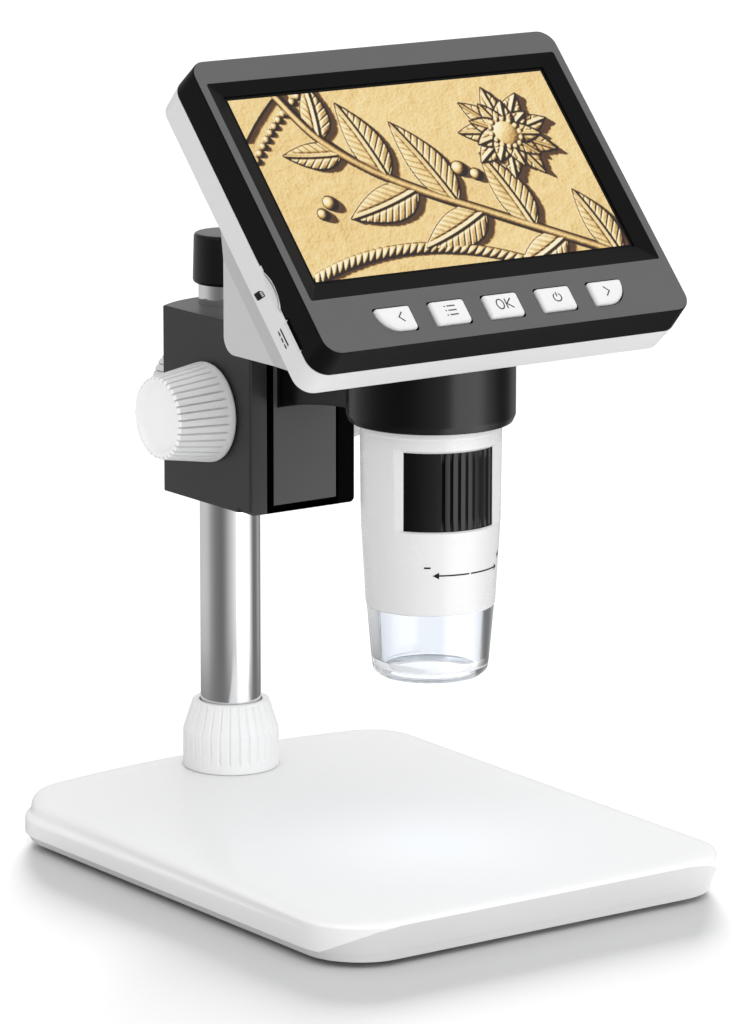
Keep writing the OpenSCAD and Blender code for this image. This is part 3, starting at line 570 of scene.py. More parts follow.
    # the tent's floor, ring by ring
    radii = [R, 0.7, 0.5, 0.4, 0.32, 0.26, 0.2, 0.15, 0.1, 0.05]
    base0 = len(V)
    for r in radii:
        for j in range(nphi):
            phi = -180 + 360 * j / nphi
            a = math.radians(CAM_AZ + phi)
            V.append((r * math.cos(a), POLE_Y * MM + r * math.sin(a), 0.0004))
            h = float(np.interp(phi, ax, ay))
            near = min(1.0, max(0.0, (r - 0.10) / 0.12))
            C.append(h * near + 0.2 * (1 - near))
    for i in range(len(radii) - 1):
        for j in range(nphi):
            k = (j + 1) % nphi
            F.append((base0 + i * nphi + j, base0 + i * nphi + k, base0 + (i + 1) * nphi + k, base0 + (i + 1) * nphi + j))
    me = bpy.data.meshes.new("tent")
    me.from_pydata(V, [], F)
    at = me.color_attributes.new("glow", "FLOAT_COLOR", "POINT")
    col = np.ones((len(V), 4), np.float32)
    col[:, :3] = np.array(C, np.float32)[:, None]
    at.data.foreach_set("color", col.ravel())
    ob = bpy.data.objects.new("tent", me)
    SC.collection.objects.link(ob)
    tm = bpy.data.materials.new("tent")
    tm.use_nodes = True
    nt = tm.node_tree
    for nd in list(nt.nodes):
        nt.nodes.remove(nd)
    out = nt.nodes.new("ShaderNodeOutputMaterial")
    em = nt.nodes.new("ShaderNodeEmission")
    an = nt.nodes.new("ShaderNodeAttribute")
    an.attribute_name = "glow"
    nt.links.new(an.outputs["Color"], em.inputs["Color"])
    nt.links.new(em.outputs[0], out.inputs[0])
    tm.cycles.emission_sampling = "NONE"
    me.materials.append(tm)
    ob.visible_camera = False
    ob.visible_diffuse = False
    ob.visible_transmission = False
    ob.visible_shadow = False
    ob.visible_volume_scatter = False


studio()


# ---------------------------------------------------------------- base
BOW = 4.4
FACETS = [(196, 2.95), (207, 4.1), (220, 5.8), (235, 7.5), (250, 8.9), (270, 9.7)]


def base_stations():
    """Centre and outward direction of every point round the base: rounded corners, straight sides and a bowed back."""
    out = []
    cy0, cy1 = BASE_CY - 59.95, BASE_CY + 59.95
    tilt = math.degrees(math.atan(2 * BOW / 44.6))

    def arc(cx, cy, a0, a1, n):
        for j in range(n + 1):
            out.append((cx, cy, a0 + (a1 - a0) * j / n))
    arc(44.6, cy1, 0, 90 - tilt, 14)
    for j in range(1, 16):
        x = 44.6 - 89.2 * j / 16
        slope = math.degrees(math.atan(2 * BOW * x / 44.6 ** 2))
        out.append((x, cy1 + BOW * (1 - (x / 44.6) ** 2), 90 - slope))
    arc(-44.6, cy1, 90 + tilt, 180, 14)
    for j in range(1, 12):
        out.append((-44.6, cy1 + (cy0 - cy1) * j / 12, 180))
    arc(-44.6, cy0, 180, 270, 22)
    for j in range(1, 10):
        out.append((-44.6 + 89.2 * j / 10, cy0, 270))
    arc(44.6, cy0, 270, 360, 22)
    for j in range(1, 12):
        out.append((44.6, cy0 + (cy1 - cy0) * j / 12, 360))
    return out


STATIONS = base_stations()


def crease_z(ang, cy):
    """Height of the front facet's upper edge in a direction."""
    if cy > BASE_CY - 59.9:
        return 2.95
    a = min(ang, 540 - ang)
    xs, ys = zip(*FACETS)
    return float(np.interp(a, xs, ys))


def back_share(cy):
    return min(1.0, max(0.0, (cy - (BASE_CY - 59.95)) / 119.9))


def base_ring(front, back=None, side=False, lift=0.0):
    """front and back are (r, z); side rings follow the facet and stay above its upper edge."""
    back = back or front
    out = []
    for cx, cy, ang in STATIONS:
        w = back_share(cy)
        r = front[0] * (1 - w) + back[0] * w
        z = front[1] * (1 - w) + back[1] * w
        zc = crease_z(ang, cy)
        if side:
            z = max(z, zc + lift)
        if z < zc - 1e-6:
            r = min(r, 17.0 - 1.5 * (zc - z) / (zc - 1.0))
        t = math.radians(ang)
        out.append((cx + r * math.cos(t), cy + r * math.sin(t), z))
    return np.array(out)


FEET = [(i * 45.6, BASE_CY + j * 59.95) for i in (-1, 1) for j in (-1, 1)]
BSCREW = [(i * 49.6, BASE_CY + j * 40) for i in (-1, 1) for j in (-1, 1)]


def top_z(y):
    return 11.02 + 2.66 * min(1.0, max(0.0, (y + 62) / 120.0))


def make_base():
    front = [(17, 3.2), (17, 7.0), (17, 7.5), (17, 7.8), (17, 7.95), (17, 8.05), (17, 8.4), (17, 9.0), (17, 9.6), (16.92, 9.85), (16.7, 10.12),
             (16.3, 10.36), (15.75, 10.56), (14.9, 10.74), (13.9, 10.87), (12.6, 10.96), (11.2, 11.0), (9, 11.02), (6, 11.03)]
    back = [(17, 3.2), (17, 6.3), (16.92, 6.9), (16.7, 7.4), (16.3, 7.8), (15.85, 8.05), (15.55, 8.35), (15.42, 9.0), (15.35, 9.8), (15.2, 10.6), (14.9, 11.3),
            (14.45, 11.95), (13.85, 12.5), (13.1, 12.95), (12.2, 13.28), (11.1, 13.5), (9.9, 13.6), (8.4, 13.66), (6, 13.68)]
    rings = [base_ring((11, 8.4), (11, 10.9)), base_ring((11, 3.3)), base_ring((11.3, 3.05)), base_ring((16.8, 3.05)), base_ring((16.95, 3.1))]
    for j, (fr, bk) in enumerate(zip(front, back)):
        rings.append(base_ring(fr, bk, side=True, lift=0.02 * j))
    top = base_ring((3.0, 11.04), (3.0, 13.7))
    rings.append(top)
    ob = loft("base_shell_v", rings)
    adds = [tube(15.5, 5.4, 12.4, 64, AT_POLE)]
    boolean(adds[0], [block(-30, 30, BASE_CY + 76.95 - 4, 120, 0, 30)])
    adds += [tube(3.6, 3.55, 9.8, 32, Matrix.Translation((x, y, 0))) for x, y in BSCREW]
    boolean(ob, adds, "UNION")
    cuts = [tube(9.25, -1, 30, 96, AT_POLE), tube(13.0, 13.45, 18, 96, AT_POLE)]
    cuts += [tube(1.3, -1, 9.2, 24, Matrix.Translation((x, y, 0))) for x, y in BSCREW]
    for a in (30, 150, 270):
        t = math.radians(a)
        cuts.append(tube(1.05, -1, 10.5, 24, Matrix.Translation((11.6 * math.cos(t), POLE_Y + 11.6 * math.sin(t), 0))))
    boolean(ob, cuts)
    shade(ob, 35)
    # the facet's upper edge stays crisp round both front corners
    me = ob.data
    cy0 = BASE_CY - 59.95
    on = []
    for v in me.vertices:
        x, y, z = (v.co.x / MM, v.co.y / MM, v.co.z / MM)
        dx, dy = abs(x) - 44.6, y - cy0
        if dy > 0.2:
            on.append(False)
            continue
        ang = 270.0 if dx < 0 else 270 - math.degrees(math.atan2(dx, -dy))
        rr = -dy if dx < 0 else math.hypot(dx, dy)
        zc = crease_z(ang, cy0)
        on.append(zc > 3.3 and abs(z - zc) < 0.03 and rr > 16.9)
    for e in me.edges:
        if on[e.vertices[0]] and on[e.vertices[1]]:
            e.use_edge_sharp = True
    place(ob, "base", "white_plastic", M_BASE, M_PLATE_SHADE, replaces=["base_shell"])
    # painted shade: the front facet, which faces a little downward, takes the darker plate white
    for q in me.polygons:
        c = q.center / MM
        if c.y < BASE_CY - 59 and c.z < 9.72 and c.z > 3.06 and q.normal.z < -0.06 and q.normal.z > -0.5:
            q.material_index = 1

    rings = [base_ring((14.9, 1.0)), base_ring((15.35, 1.01)), base_ring((15.5, 1.08)), base_ring((16.55, 2.9)), base_ring((16.55, 3.03)),
             base_ring((10.7, 3.04)), base_ring((10.7, 3.35)), base_ring((10.5, 3.45))]
    ob = loft("base_plate_v", rings)
    cuts = [tube(6.3, -1, 2.1, 64, Matrix.Translation((x, y, 0))) for x, y in FEET]
    cuts += [lathe("cutter", [(0, -1), (3.1, -1), (3.1, 2.4), (1.6, 2.4), (1.6, 6), (0, 6)], 32, Matrix.Translation((x, y, 0))) for x, y in BSCREW]
    boolean(ob, cuts)
    shade(ob, 35)
    place(ob, "base", "white_plastic", M_PLATE_SHADE, replaces=["base_plate"])


def grooves(count, depth, width, z0, z1, fade=0.8, phase=0.0, rmin=0.0):
    """Radius function with grooves of the given width, as a share of the pitch, between z0 and z1."""
    def f(th, r, z):
        if r < rmin or z < z0 or z > z1:
            return np.full(len(th), r)
        k = min(1.0, (z - z0) / fade, (z1 - z) / fade)
        k = math.sin(max(0.0, k) * math.pi / 2)
        u = (th * count / (2 * math.pi) + phase) % 1.0
        d = np.abs(u - 0.5) * 2
        g = np.clip(1 - d / width, 0, 1)
        g = g * g * (3 - 2 * g)
        return r - depth * k * g
    return f


def resample(prof, lo, hi, n):
    """Adds n points along each long profile segment that lies between z lo and hi."""
    out = []
    P = [np.array(p, float) for p in prof]
    for i in range(len(P)):
        a, b = P[i], P[(i + 1) % len(P)]
        out.append(a)
        if i == len(P) - 1:
            break
        if abs(b[1] - a[1]) > 1.2 and min(a[1], b[1]) < hi and max(a[1], b[1]) > lo:
            for j in range(1, n):
                out.append(a + (b - a) * j / n)
    return out


def make_collar():
    prof = list(fillet([(9.5, 13.5), (12.6, 13.5, 0.5), (12.6, 23.5, 1.6), (10.0, 31.6, 0.8), (8.25, 31.6, 0.35), (8.25, 30.9), (8.8, 30.9),
                        (9.5, 27.6)], 10))
    out = []
    for i, p in enumerate(prof):
        q = prof[(i + 1) % len(prof)]
        out.append(p)
        if p[0] > 12.5 and q[0] > 12.5 and q[1] - p[1] > 3:
            for j in range(1, 24):
                out.append(p + (q - p) * j / 24)
    ob = lathe("collar_nut_v", out, 360, AT_POLE, grooves(30, 0.62, 0.36, 15.9, 24.9, 0.9, rmin=11.7))
    shade(ob, 38)
    place(ob, "nut", "white_plastic", M_NUT, replaces=["collar_nut"])


def make_pole():
    prof = fillet([(6.7, 6.2), (7.9, 6.2, 0.3), (7.9, 151.6, 0.3), (6.7, 151.6)], 30)
    ob = lathe("pole_v", prof, 160, AT_POLE)
    shade(ob, 30)
    place(ob, "pole", "polished_steel", M_CHROME, replaces=["pole"])
    prof = fillet([(7.92, 142.3), (9.4, 142.3, 1.1), (9.05, 155.4, 0.9), (0, 155.4), (0, 151.65), (7.92, 151.65)], 10)
    ob = lathe("pole_cap_v", prof, 144, AT_POLE)
    shade(ob, 40)
    place(ob, "pole", "black_plastic", M_BLACK, replaces=["pole_cap"])


make_base()
make_collar()
make_pole()


# ---------------------------------------------------------------- focus housing and knobs
def make_housing():
    out = [(-HX, FRONT_Y, 0.7), (-10.9, FRONT_Y, 0.35), (-10.9, 28.9), (-5.3, 28.9), (-5.3, 31.8), (-9.3, 31.8), (-9.3, 35.6), (-4, 35.6),
           (-4, 39.7), (4, 39.7), (4, 35.6), (9.3, 35.6), (9.3, 31.8), (5.3, 31.8), (5.3, 28.9), (10.9, 28.9), (10.9, FRONT_Y, 0.35),
           (HX, FRONT_Y, 0.7), (HX, 64.88, 0.0)]
    n = 22
    a0, a1 = math.radians(53.18), math.radians(126.82)
    for j in range(1, n):
        a = a0 + (a1 - a0) * j / n
        out.append((27.2 * math.cos(a), 43.1 + 27.2 * math.sin(a)))
    out.append((-HX, 64.88, 0.0))
    ob = prism("focus_housing_v", fillet(out, 15), 88, 137, 0.45, 0.45, 3)
    X = Matrix.Rotation(math.radians(90), 4, "Y")
    at = Matrix.Translation((0, PIN_Y, PIN_Z)) @ X
    cuts = [tube(7.96, 80, 145, 96, AT_POLE), tube(6.3, -20, 4.4, 48, at), tube(5.2, 0, 20, 48, at)]
    cuts.append(tube(3.6, 5, 10.2, 32, Matrix.Translation((0, POLE_Y, PIN_Z)) @ Matrix.Rotation(math.radians(-90), 4, "X")))
    cuts.append(tube(3.1, 9, 15, 32, Matrix.Translation((0, POLE_Y, PIN_Z)) @ Matrix.Rotation(math.radians(-90), 4, "X")))
    cuts.append(tube(1.05, 6, 26, 16, Matrix.Translation((0, FRONT_Y + 8.5, 126)) @ X))
    cuts.append(tube(2.1, HX - 1.3, 20, 24, Matrix.Translation((0, FRONT_Y + 8.5, 126)) @ X))
    for s in (-1, 1):
        cuts.append(block(-0.9, 0.9, -5, 5, -0.9, 0.9, Matrix.Translation((s * HX, FRONT_Y + 1, 88)) @ Matrix.Rotation(math.radians(45), 4, "Y")))
    boolean(ob, cuts)
    shade(ob, 28)
    place(ob, "housing", "black_plastic", M_HOUSE, M_SHADE_BLACK, replaces=["focus_housing"])
    # painted shade: the channel inside and the front faces of the right wing and the centre take the near-black
    for q in ob.data.polygons:
        c = q.center / MM
        inner = abs(c.x) < 11.2 and c.y < 42
        if inner or (c.y < FRONT_Y + 0.75 and (c.x > 10.5 or abs(c.x) < 12.6)):
            q.material_index = 1


def knob_profile(r1, r2, length, face_r, dish, bore, bore_d, back):
    """Outer wide end at z = 0, dished face at z = length."""
    pts = [(0, bore_d), (bore, bore_d), (bore, back[0][1])]
    pts += back
    pts += [(r1, 0.0, 0.9), (r1 - 0.12, 1.6, 0.6), (r2, length, 1.0), (face_r + 0.25, length, 0.45), (face_r - 0.6, length - dish, 1.0), (0, length - dish - 0.15)]
    return fillet(pts, 12, closed=False)


def make_knob(name, body, M, r1, r2, length, face_r, dish, bore, bore_d, back, count, depth, width, node):
    prof = knob_profile(r1, r2, length, face_r, dish, bore, bore_d, back)
    prof = resample(list(prof), 1.0, length, 26)
    ob = lathe(name, prof, count * 14, M, grooves(count, depth, width, 1.9, length + 0.6, 0.9, rmin=r2 - 0.85))
    shade(ob, 40)
    place(ob, body, "white_plastic", M_KNOB, M_RIB_SHADE, replaces=[node])
    # painted shade: faces turned away from the knob's axis, the ribbed sides, take the darker white
    ax = 1 if body == "clamp_knob" else 0
    for q in ob.data.polygons:
        if abs(q.normal[ax]) < 0.5:
            q.material_index = 1


def make_knobs():
    back = [(6.2, 1.2), (6.2, 3.0), (11.0, 3.0), (11.0, 0.0, 0.15)]
    L = Matrix.Translation((-HX - 0.35, PIN_Y, PIN_Z)) @ Matrix.Rotation(math.radians(-90), 4, "Y")
    Rm = Matrix.Translation((HX + 0.35, PIN_Y, PIN_Z)) @ Matrix.Rotation(math.radians(90), 4, "Y")
    for nm, M, node in (("left_focus_knob_v", L, "left_focus_knob"), ("right_focus_knob_v", Rm, "right_focus_knob")):
        make_knob(nm, "focus_drive", M, 13.0, 10.6, 16.0, 8.95, 1.25, 2.52, 12.5, back, 36, 0.72, 0.32, node)
    K = Matrix.Translation((0, POLE_Y + 12.1, PIN_Z)) @ Matrix.Rotation(math.radians(-90), 4, "X")
    make_knob("clamp_knob_v", "clamp_knob", K, 11.9, 11.05, 8.5, 9.4, 0.6, 2.02, 5.4, [(2.4, 0.0), (10.9, 0.0)], 36, 0.6, 0.32, "clamp_knob")


make_housing()
make_knobs()


# ---------------------------------------------------------------- carriage, arm, holder ring
def make_carriage():
    y0 = FRONT_Y - 0.8
    pts = [(-9.8, y0, 0.25), (9.8, y0, 0.25), (9.8, y0 + 4.2), (5, y0 + 4.2), (5, FRONT_Y + 6.9), (8.1, FRONT_Y + 6.9), (8.1, FRONT_Y + 10.1),
           (-8.1, FRONT_Y + 10.1), (-8.1, FRONT_Y + 6.9), (-5, FRONT_Y + 6.9), (-5, y0 + 4.2), (-9.8, y0 + 4.2)]
    ob = prism("carriage_v", fillet(pts, 30), 90.2, 137.8, 0.25, 0.25, 2)
    cuts = [block(6.7, 9.7, FRONT_Y + 6, FRONT_Y + 11, 106.5, 131.0)]
    B = Matrix.Rotation(math.radians(-90), 4, "X")
    for z in (95.5, 131.5):
        cuts.append(tube(1.0, 0, 9, 16, Matrix.Translation((0, FRONT_Y + 3, z)) @ B))
    for z in (120.8, 127):
        for x in (-2.6, 2.6):
            cuts.append(tube(1.2, -1, 6, 16, Matrix.Translation((x, y0, z)) @ B))
            cuts.append(tube(2.2, 0, 9, 16, Matrix.Translation((x, y0 + 5, z)) @ B))
    boolean(ob, cuts)
    shade(ob, 28)
    place(ob, "carriage", "carriage_grey", M_CARR, M_SHADE_BLACK, replaces=["carriage"])
    # painted shade: the carriage's sides and the faces that do not face forward take the near-black
    for q in ob.data.polygons:
        if abs(q.normal.x) > 0.5 or (q.normal.y > -0.7 and abs(q.normal.z) < 0.5):
            q.material_index = 1


def make_arm():
    y0 = FRONT_Y - 0.8
    under = spline([(-15.9, 121.2), (-9.9, 120.5), (-1.9, 120.0), (2.2, 119.6), (6.3, 119.15), (9.7, 118.65), (13.1, 118.1), (16.6, 117.4), (20, 116.6),
                    (y0, 115.5)], 3)
    poly = [tuple(p) for p in under] + [(y0, 137.6), (-15.9, 136.4)]
    arm = prism("arm_part", poly, -8.8, 8.8, 0.5, 0.5, 3, SIDE)
    prof = fillet([(18.2, 120.2), (20.2, 120.2, 0.6), (21.0, 122.0, 1.2), (21.0, 136.6, 0.7), (18.2, 136.6)], 10)
    ob = lathe("ring_arm_v", prof, 144, AT_LENS)
    boolean(ob, [arm], "UNION")
    Y = Matrix.Rotation(math.radians(-90), 4, "X")
    cuts = [tube(18.55, 100, 160, 144, AT_LENS)]
    for z in (120.8, 127):
        for x in (-2.6, 2.6):
            cuts.append(tube(1.0, -7, 1, 16, Matrix.Translation((x, y0, z)) @ Y))
    boolean(ob, cuts)
    shade(ob, 28)
    place(ob, "carriage", "black_plastic", M_GLOSSBLACK, replaces=["ring_arm"])


make_carriage()
make_arm()


# ---------------------------------------------------------------- screen unit
KEY_X = (-32, -16, 0, 16, 32)
KEY_V = -41.1
BOSS = [(-49.8, 35.25), (49.8, 35.25), (-49.4, -43.8), (49.4, -43.8)]


def rad_key(i, big, small):
    if i == 0:
        return (small, small, big, small)
    if i == 4:
        return (small, small, small, big)
    return small


PART_N = -6.9
BACK_N = -15.5


def outer_at(n):
    """Width, height and corner radius of the bezel at depth n."""
    t = (n - PART_N) / (1.5 - PART_N)
    return 111.2 - 1.2 * t, 87.55 - 1.2 * t, 5.2 - 0.7 * t


def make_bezel():
    cv = -5.325
    rings = []

    def rr(w, h, r, n, c=cv, k=12):
        rings.append(ring3(rrect(w, h, r, k, 0, c), n))

    rr(107.2, 83.8, 3.6, PART_N + 0.04)
    w, h, r = outer_at(PART_N)
    rr(w - 0.4, h - 0.4, r - 0.2, PART_N + 0.02)
    for t in (30, 60, 90):
        q = 0.2 * (1 - math.sin(math.radians(t)))
        rr(w - 2 * q, h - 2 * q, r - q, PART_N + 0.02 + 0.2 * (1 - math.cos(math.radians(t))))
    w, h, r = outer_at(1.05)
    rr(w, h, r, 1.05)
    for t in (20, 40, 60, 80, 90):
        a = math.radians(t)
        q = 0.45 * (1 - math.cos(a))
        n = 1.05 + 0.45 * math.sin(a)
        w, h, r = outer_at(n)
        rr(w - 2 * q, h - 2 * q, r - q, n)
    rr(105.7, 64.55, 0.75, 1.5, -0.975)
    rr(105.35, 64.2, 0.6, 1.42, -0.975)
    rr(97.3, 56.1, 0.35, 0.02, 0)
    rr(97.0, 55.8, 0.3, -0.08, 0)
    rr(97.0, 55.8, 0.3, -0.4, 0)
    rr(107.2, 83.8, 3.6, -0.4)
    ob = loft("front_bezel_v", rings, HEAD, wrap=True)
    posts = [tube(1.95, PART_N + 0.05, -0.2, 32, HEAD @ Matrix.Translation((p[0], p[1], 0))) for p in BOSS]
    boolean(ob, posts, "UNION")
    cuts = []
    for i, x in enumerate(KEY_X):
        cuts.append(prism("cutter", rrect(10.9, 7.4, rad_key(i, 6.1, 0.8), 8, x, KEY_V), -2, 6, 0, 0, 1, HEAD))
    cuts.append(tube(10.9, -60, -53.1, 96, HEAD @ Matrix.Translation((0, -23.8, -16.07)) @ SIDE))
    cuts.append(prism("cutter", rrect(9.2, 2.3, 0.55, 6, -37.0, -6.65), -60, -53.1, 0, 0, 1, HEAD @ SIDE))
    cuts.append(block(-60, -54.0, -18.5, -16.6, -7.2, -6.25, HEAD))
    cuts += [tube(1.0, -9, -2.3, 16, HEAD @ Matrix.Translation((p[0], p[1], 0))) for p in BOSS]
    boolean(ob, cuts)
    shade(ob, 24)
    # the front plane is the grey finish, the rest black
    nrm = (HEAD.to_3x3() @ Vector((0, 0, 1))).normalized()
    o = HEAD.translation * MM
    set_mat(ob, M_SIDE, M_FACE)
    for p in ob.data.polygons:
        d = (p.center - o) @ nrm / MM
        p.material_index = 1 if (d > 1.44 and p.normal @ nrm > 0.9) else 0
    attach(ob, "microscope")
    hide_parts("front_bezel")


def side_cut(poly, x0, x1, name="cutter"):
    """Prism across the screen unit's side: poly in (v, n)."""
    return prism(name, poly, x0, x1, 0, 0, 1, HEAD @ SIDE)


def make_rear():
    cv = -5.325
    rings = []

    def rr(w, h, r, n, k=12):
        rings.append(ring3(rrect(w, h, r, k, 0, cv), n))

    w, h, r = outer_at(PART_N)
    rr(w - 0.5, h - 0.5, r - 0.25, PART_N - 0.02)
    rr(w - 0.16, h - 0.16, r - 0.08, PART_N - 0.1)
    rr(w, h, r, PART_N - 0.3)
    rr(110.45, 86.8, 4.8, -14.65)
    for t in (15, 30, 45, 60, 75, 90):
        a = math.radians(t)
        q = 0.85 * (1 - math.cos(a))
        rr(110.45 - 2 * q, 86.8 - 2 * q, 4.8 - q, -14.65 - 0.85 * math.sin(a))
    ob = loft("rear_shell_v", rings, HEAD)
    # wedge behind the slab: upright back, flat underside, sides stepped in along a crease
    wy, nz = -19.2, 141.2
    poly = fillet([(wy, nz, 4.4), (wy, 172.2), (-47.2, 144.2), (-49.2, nz)], 8)
    if np.sum(poly[:, 0] * np.roll(poly[:, 1], -1) - np.roll(poly[:, 0], -1) * poly[:, 1]) < 0:
        poly = poly[::-1]
    wedge = prism("wedge_part", poly, -57, 57, 0, 0, 1, SIDE)
    # the crease: a prism along the screen's height, drawn as (X, -n)
    tr = [(-55.17, 12), (55.17, 12), (55.17, 14.9), (54.45, 19.9), (54.45, 70), (-54.45, 70), (-54.45, 19.9), (-55.17, 14.9)]
    ends = Matrix(((1, 0, 0, 0), (0, 0, 1, 0), (0, -1, 0, 0), (0, 0, 0, 1)))
    body = prism("cutter", tr, -80, 80, 0, 0, 1, HEAD @ ends)
    boolean(wedge, [body], "INTERSECT")
    # soft edges where the sides meet the back and the underside
    bm = bmesh.new()
    bm.from_mesh(wedge.data)
    bmesh.ops.remove_doubles(bm, verts=bm.verts, dist=2e-6)
    bmesh.ops.dissolve_limit(bm, angle_limit=math.radians(1), verts=bm.verts, edges=bm.edges)
    rim = []
    for e in bm.edges:
        if len(e.link_faces) != 2:
            continue
        n1, n2 = e.link_faces[0].normal, e.link_faces[1].normal
        if max(abs(n1.x), abs(n2.x)) > 0.9 and min(abs(n1.x), abs(n2.x)) < 0.2:
            mid = (e.verts[0].co + e.verts[1].co) / 2 / MM
            d = HEAD.inverted() @ mid
            if d.z < -14.8:
                rim.append(e)
    bmesh.ops.bevel(bm, geom=rim, offset=0.55 * MM, segments=3, profile=0.5, affect="EDGES", clamp_overlap=True)
    bm.to_mesh(wedge.data)
    bm.free()
    neck = lathe("neck_part", [(0, nz), (19.6, nz), (19.9, nz + 0.3), (19.9, 157.1), (13, 166.1), (0, 166.1)], 128, AT_LENS)
    boolean(neck, [block(-40, 40, -80, 80, -9, 60, HEAD)])
    # tongue that fills the bezel's notch at the card slot
    tongue = tube(10.8, -55.42, -53.6, 96, HEAD @ Matrix.Translation((0, -23.8, -16.07)) @ SIDE)
    boolean(tongue, [side_cut([(-36, -9), (-12, -9), (-12, -4), (-36, -4)], -56, -53)], "INTERSECT")
    tab = block(-55.5, -54.05, -18.35, -16.75, -7.6, -6.35, HEAD)
    boolean(ob, [wedge, neck, tongue, tab], "UNION")
    hw = np.array([(wy - 2, nz + 2), (wy - 2, nz + 26), (wy - 4.4, nz + 30), (wy - 27.6, nz + 5.4), (wy - 24.4, nz + 2)])
    if np.sum(hw[:, 0] * np.roll(hw[:, 1], -1) - np.roll(hw[:, 0], -1) * hw[:, 1]) < 0:
        hw = hw[::-1]
    hollow = prism("cutter", hw, -52.6, 52.6, 0, 0, 1, SIDE)
    seat = tube(19.9, nz, nz + 9.8, 96, AT_LENS)
    boolean(hollow, [seat])
    boolean(ob, [hollow, loft("cutter", [ring3(rrect(107.2, 83.8, 3.6, 12, 0, cv), -13.3), ring3(rrect(107.2, 83.8, 3.6, 12, 0, cv), -5.0)], HEAD)])
    posts = [tube(2.4, -13.8, PART_N - 0.05, 32, HEAD @ Matrix.Translation((p[0], p[1], 0))) for p in BOSS]
    boolean(ob, posts, "UNION")
    cuts = [tube(17.9, nz - 1, nz + 6.8, 128, AT_LENS), tube(13.4, nz - 1, nz + 16.4, 96, AT_LENS)]
    for ang in (30, 150, 90):
        t = math.radians(ang)
        cuts.append(tube(1.0, nz, nz + 12.4, 16, Matrix.Translation((15.4 * math.cos(t), LENS_Y + 15.4 * math.sin(t), 0))))
    for p in BOSS:
        cuts.append(lathe("cutter", [(0, -17), (2.5, -17), (2.5, -15.3), (2.25, -15.05), (2.25, -13.0), (1.25, -13.0), (1.25, -4), (0, -4)], 32,
                          HEAD @ Matrix.Translation((p[0], p[1], 0))))
    # finger scoop with the card slot, and the sloping lip beside the supply socket
    scoop = lathe("cutter", [(9.0 * math.sin(math.radians(a)), -9.0 * math.cos(math.radians(a))) for a in range(0, 181, 4)], 96,
                  HEAD @ Matrix.Translation((-63.15, -23.0, -6.7)) @ Matrix.Diagonal((1, 1.18, 0.72, 1)))
    cuts.append(scoop)
    cuts.append(side_cut(rrect(11.4, 0.5, 0.2, 3, -24.3, -7.35), -60, -53.1))
    R = [HEAD @ Vector(q) for q in ((-55.75, -41.5, -8.3), (-55.75, -32.3, -8.3), (-57, -32.3, -6.0), (-57, -41.5, -6.0),
                                    (-55.2, -41.1, -7.9), (-55.2, -32.7, -7.9), (-54.3, -32.7, -6.0), (-54.3, -41.1, -6.0))]
    cuts.append(raw("cutter", [tuple(q) for q in R], [(0, 1, 2, 3), (4, 7, 6, 5), (0, 4, 5, 1), (1, 5, 6, 2), (2, 6, 7, 3), (3, 7, 4, 0)]))
    boolean(ob, cuts)
    shade(ob, 26)
    place(ob, "microscope", "white_plastic", M_SHELL, M_WEDGE_SHADE, M_CREASE_SHADOW, replaces=["rear_shell"])
    # painted shade: the wedge's sides take a darker copy of the shell white, and the sloping strip along the crease
    # takes a darker one still as a painted shadow of the slab's edge
    inv = HEAD.inverted()
    for q in ob.data.polygons:
        c = inv @ (q.center / MM)
        if c.z < -14.95 and abs(q.normal.x) > 0.9 and abs(c.x) > 54:
            q.material_index = 2 if abs(c.x) > 54.47 and c.z > -19.95 else 1
    # painted shade: a thin near-black sheet for the dark inside of the supply socket
    ob = prism("supply_mouth_shade_v", rrect(8.8, 1.9, 0.5, 5, -37.0, -6.6), -55.05, -54.92, 0, 0, 1, HEAD @ SIDE)
    shade(ob, 30)
    place(ob, "microscope", "black_plastic", M_SHADE_BLACK)


def make_key(i, name, node, body):
    w, h = 10.2, 6.7
    big, small = 5.8, 0.85
    x = KEY_X[i]
    rings = []

    def rr(q, n, k=9):
        if i in (0, 4):
            b = min(big - q * 0.93, h - 2 * q - 0.12)
            rs = rad_key(i, b, max(0.06, min(small - q * 0.75, h - 2 * q - b - 0.04)))
        else:
            rs = max(0.25, small - q * 0.6)
        rings.append(ring3(rrect(w - 2 * q, h - 2 * q, rs, k, x, KEY_V), n))

    rr(0, -0.85)
    rr(0, 1.35)
    for t in (18, 36, 54, 72, 90):
        a = math.radians(t)
        rr(0.95 * (1 - math.cos(a)), 1.35 + 1.13 * math.sin(a))
    rr(1.7, 2.53)
    rr(2.6, 2.56)
    ob = loft(name, rings, HEAD)
    flange = prism("cutter", rrect(12.6, 8.8, 1.0, 5, x, KEY_V), -1.55, -0.8, 0.1, 0.1, 1, HEAD)
    stem = tube(1.6, -2.5, -0.9, 24, HEAD @ Matrix.Translation((x, KEY_V, 0)))
    boolean(ob, [flange, stem], "UNION")
    shade(ob, 40)
    place(ob, body, "white_plastic", M_KEY, replaces=[node])
    return ob


make_bezel()
make_rear()
KEYS = [("key_prev_v", "key_prev", "key_prev_body"), ("key_menu_v", "key_menu", "key_menu_body"), ("key_ok_v", "key_ok", "key_ok_body"),
        ("key_power_v", "key_power", "key_power_body"), ("key_next_v", "key_next", "key_next_body")]
for i, (nm, node, body) in enumerate(KEYS):
    make_key(i, nm, node, body)


# ---------------------------------------------------------------- optics barrel
def wall_r(z):
    """Outer radius of the barrel at height z."""
    return float(np.interp(z, [74, 74.4, 95, 118.3, 118.7, 150], [15.9, 16.1, 17.3, 17.6, 17.85, 17.85]))


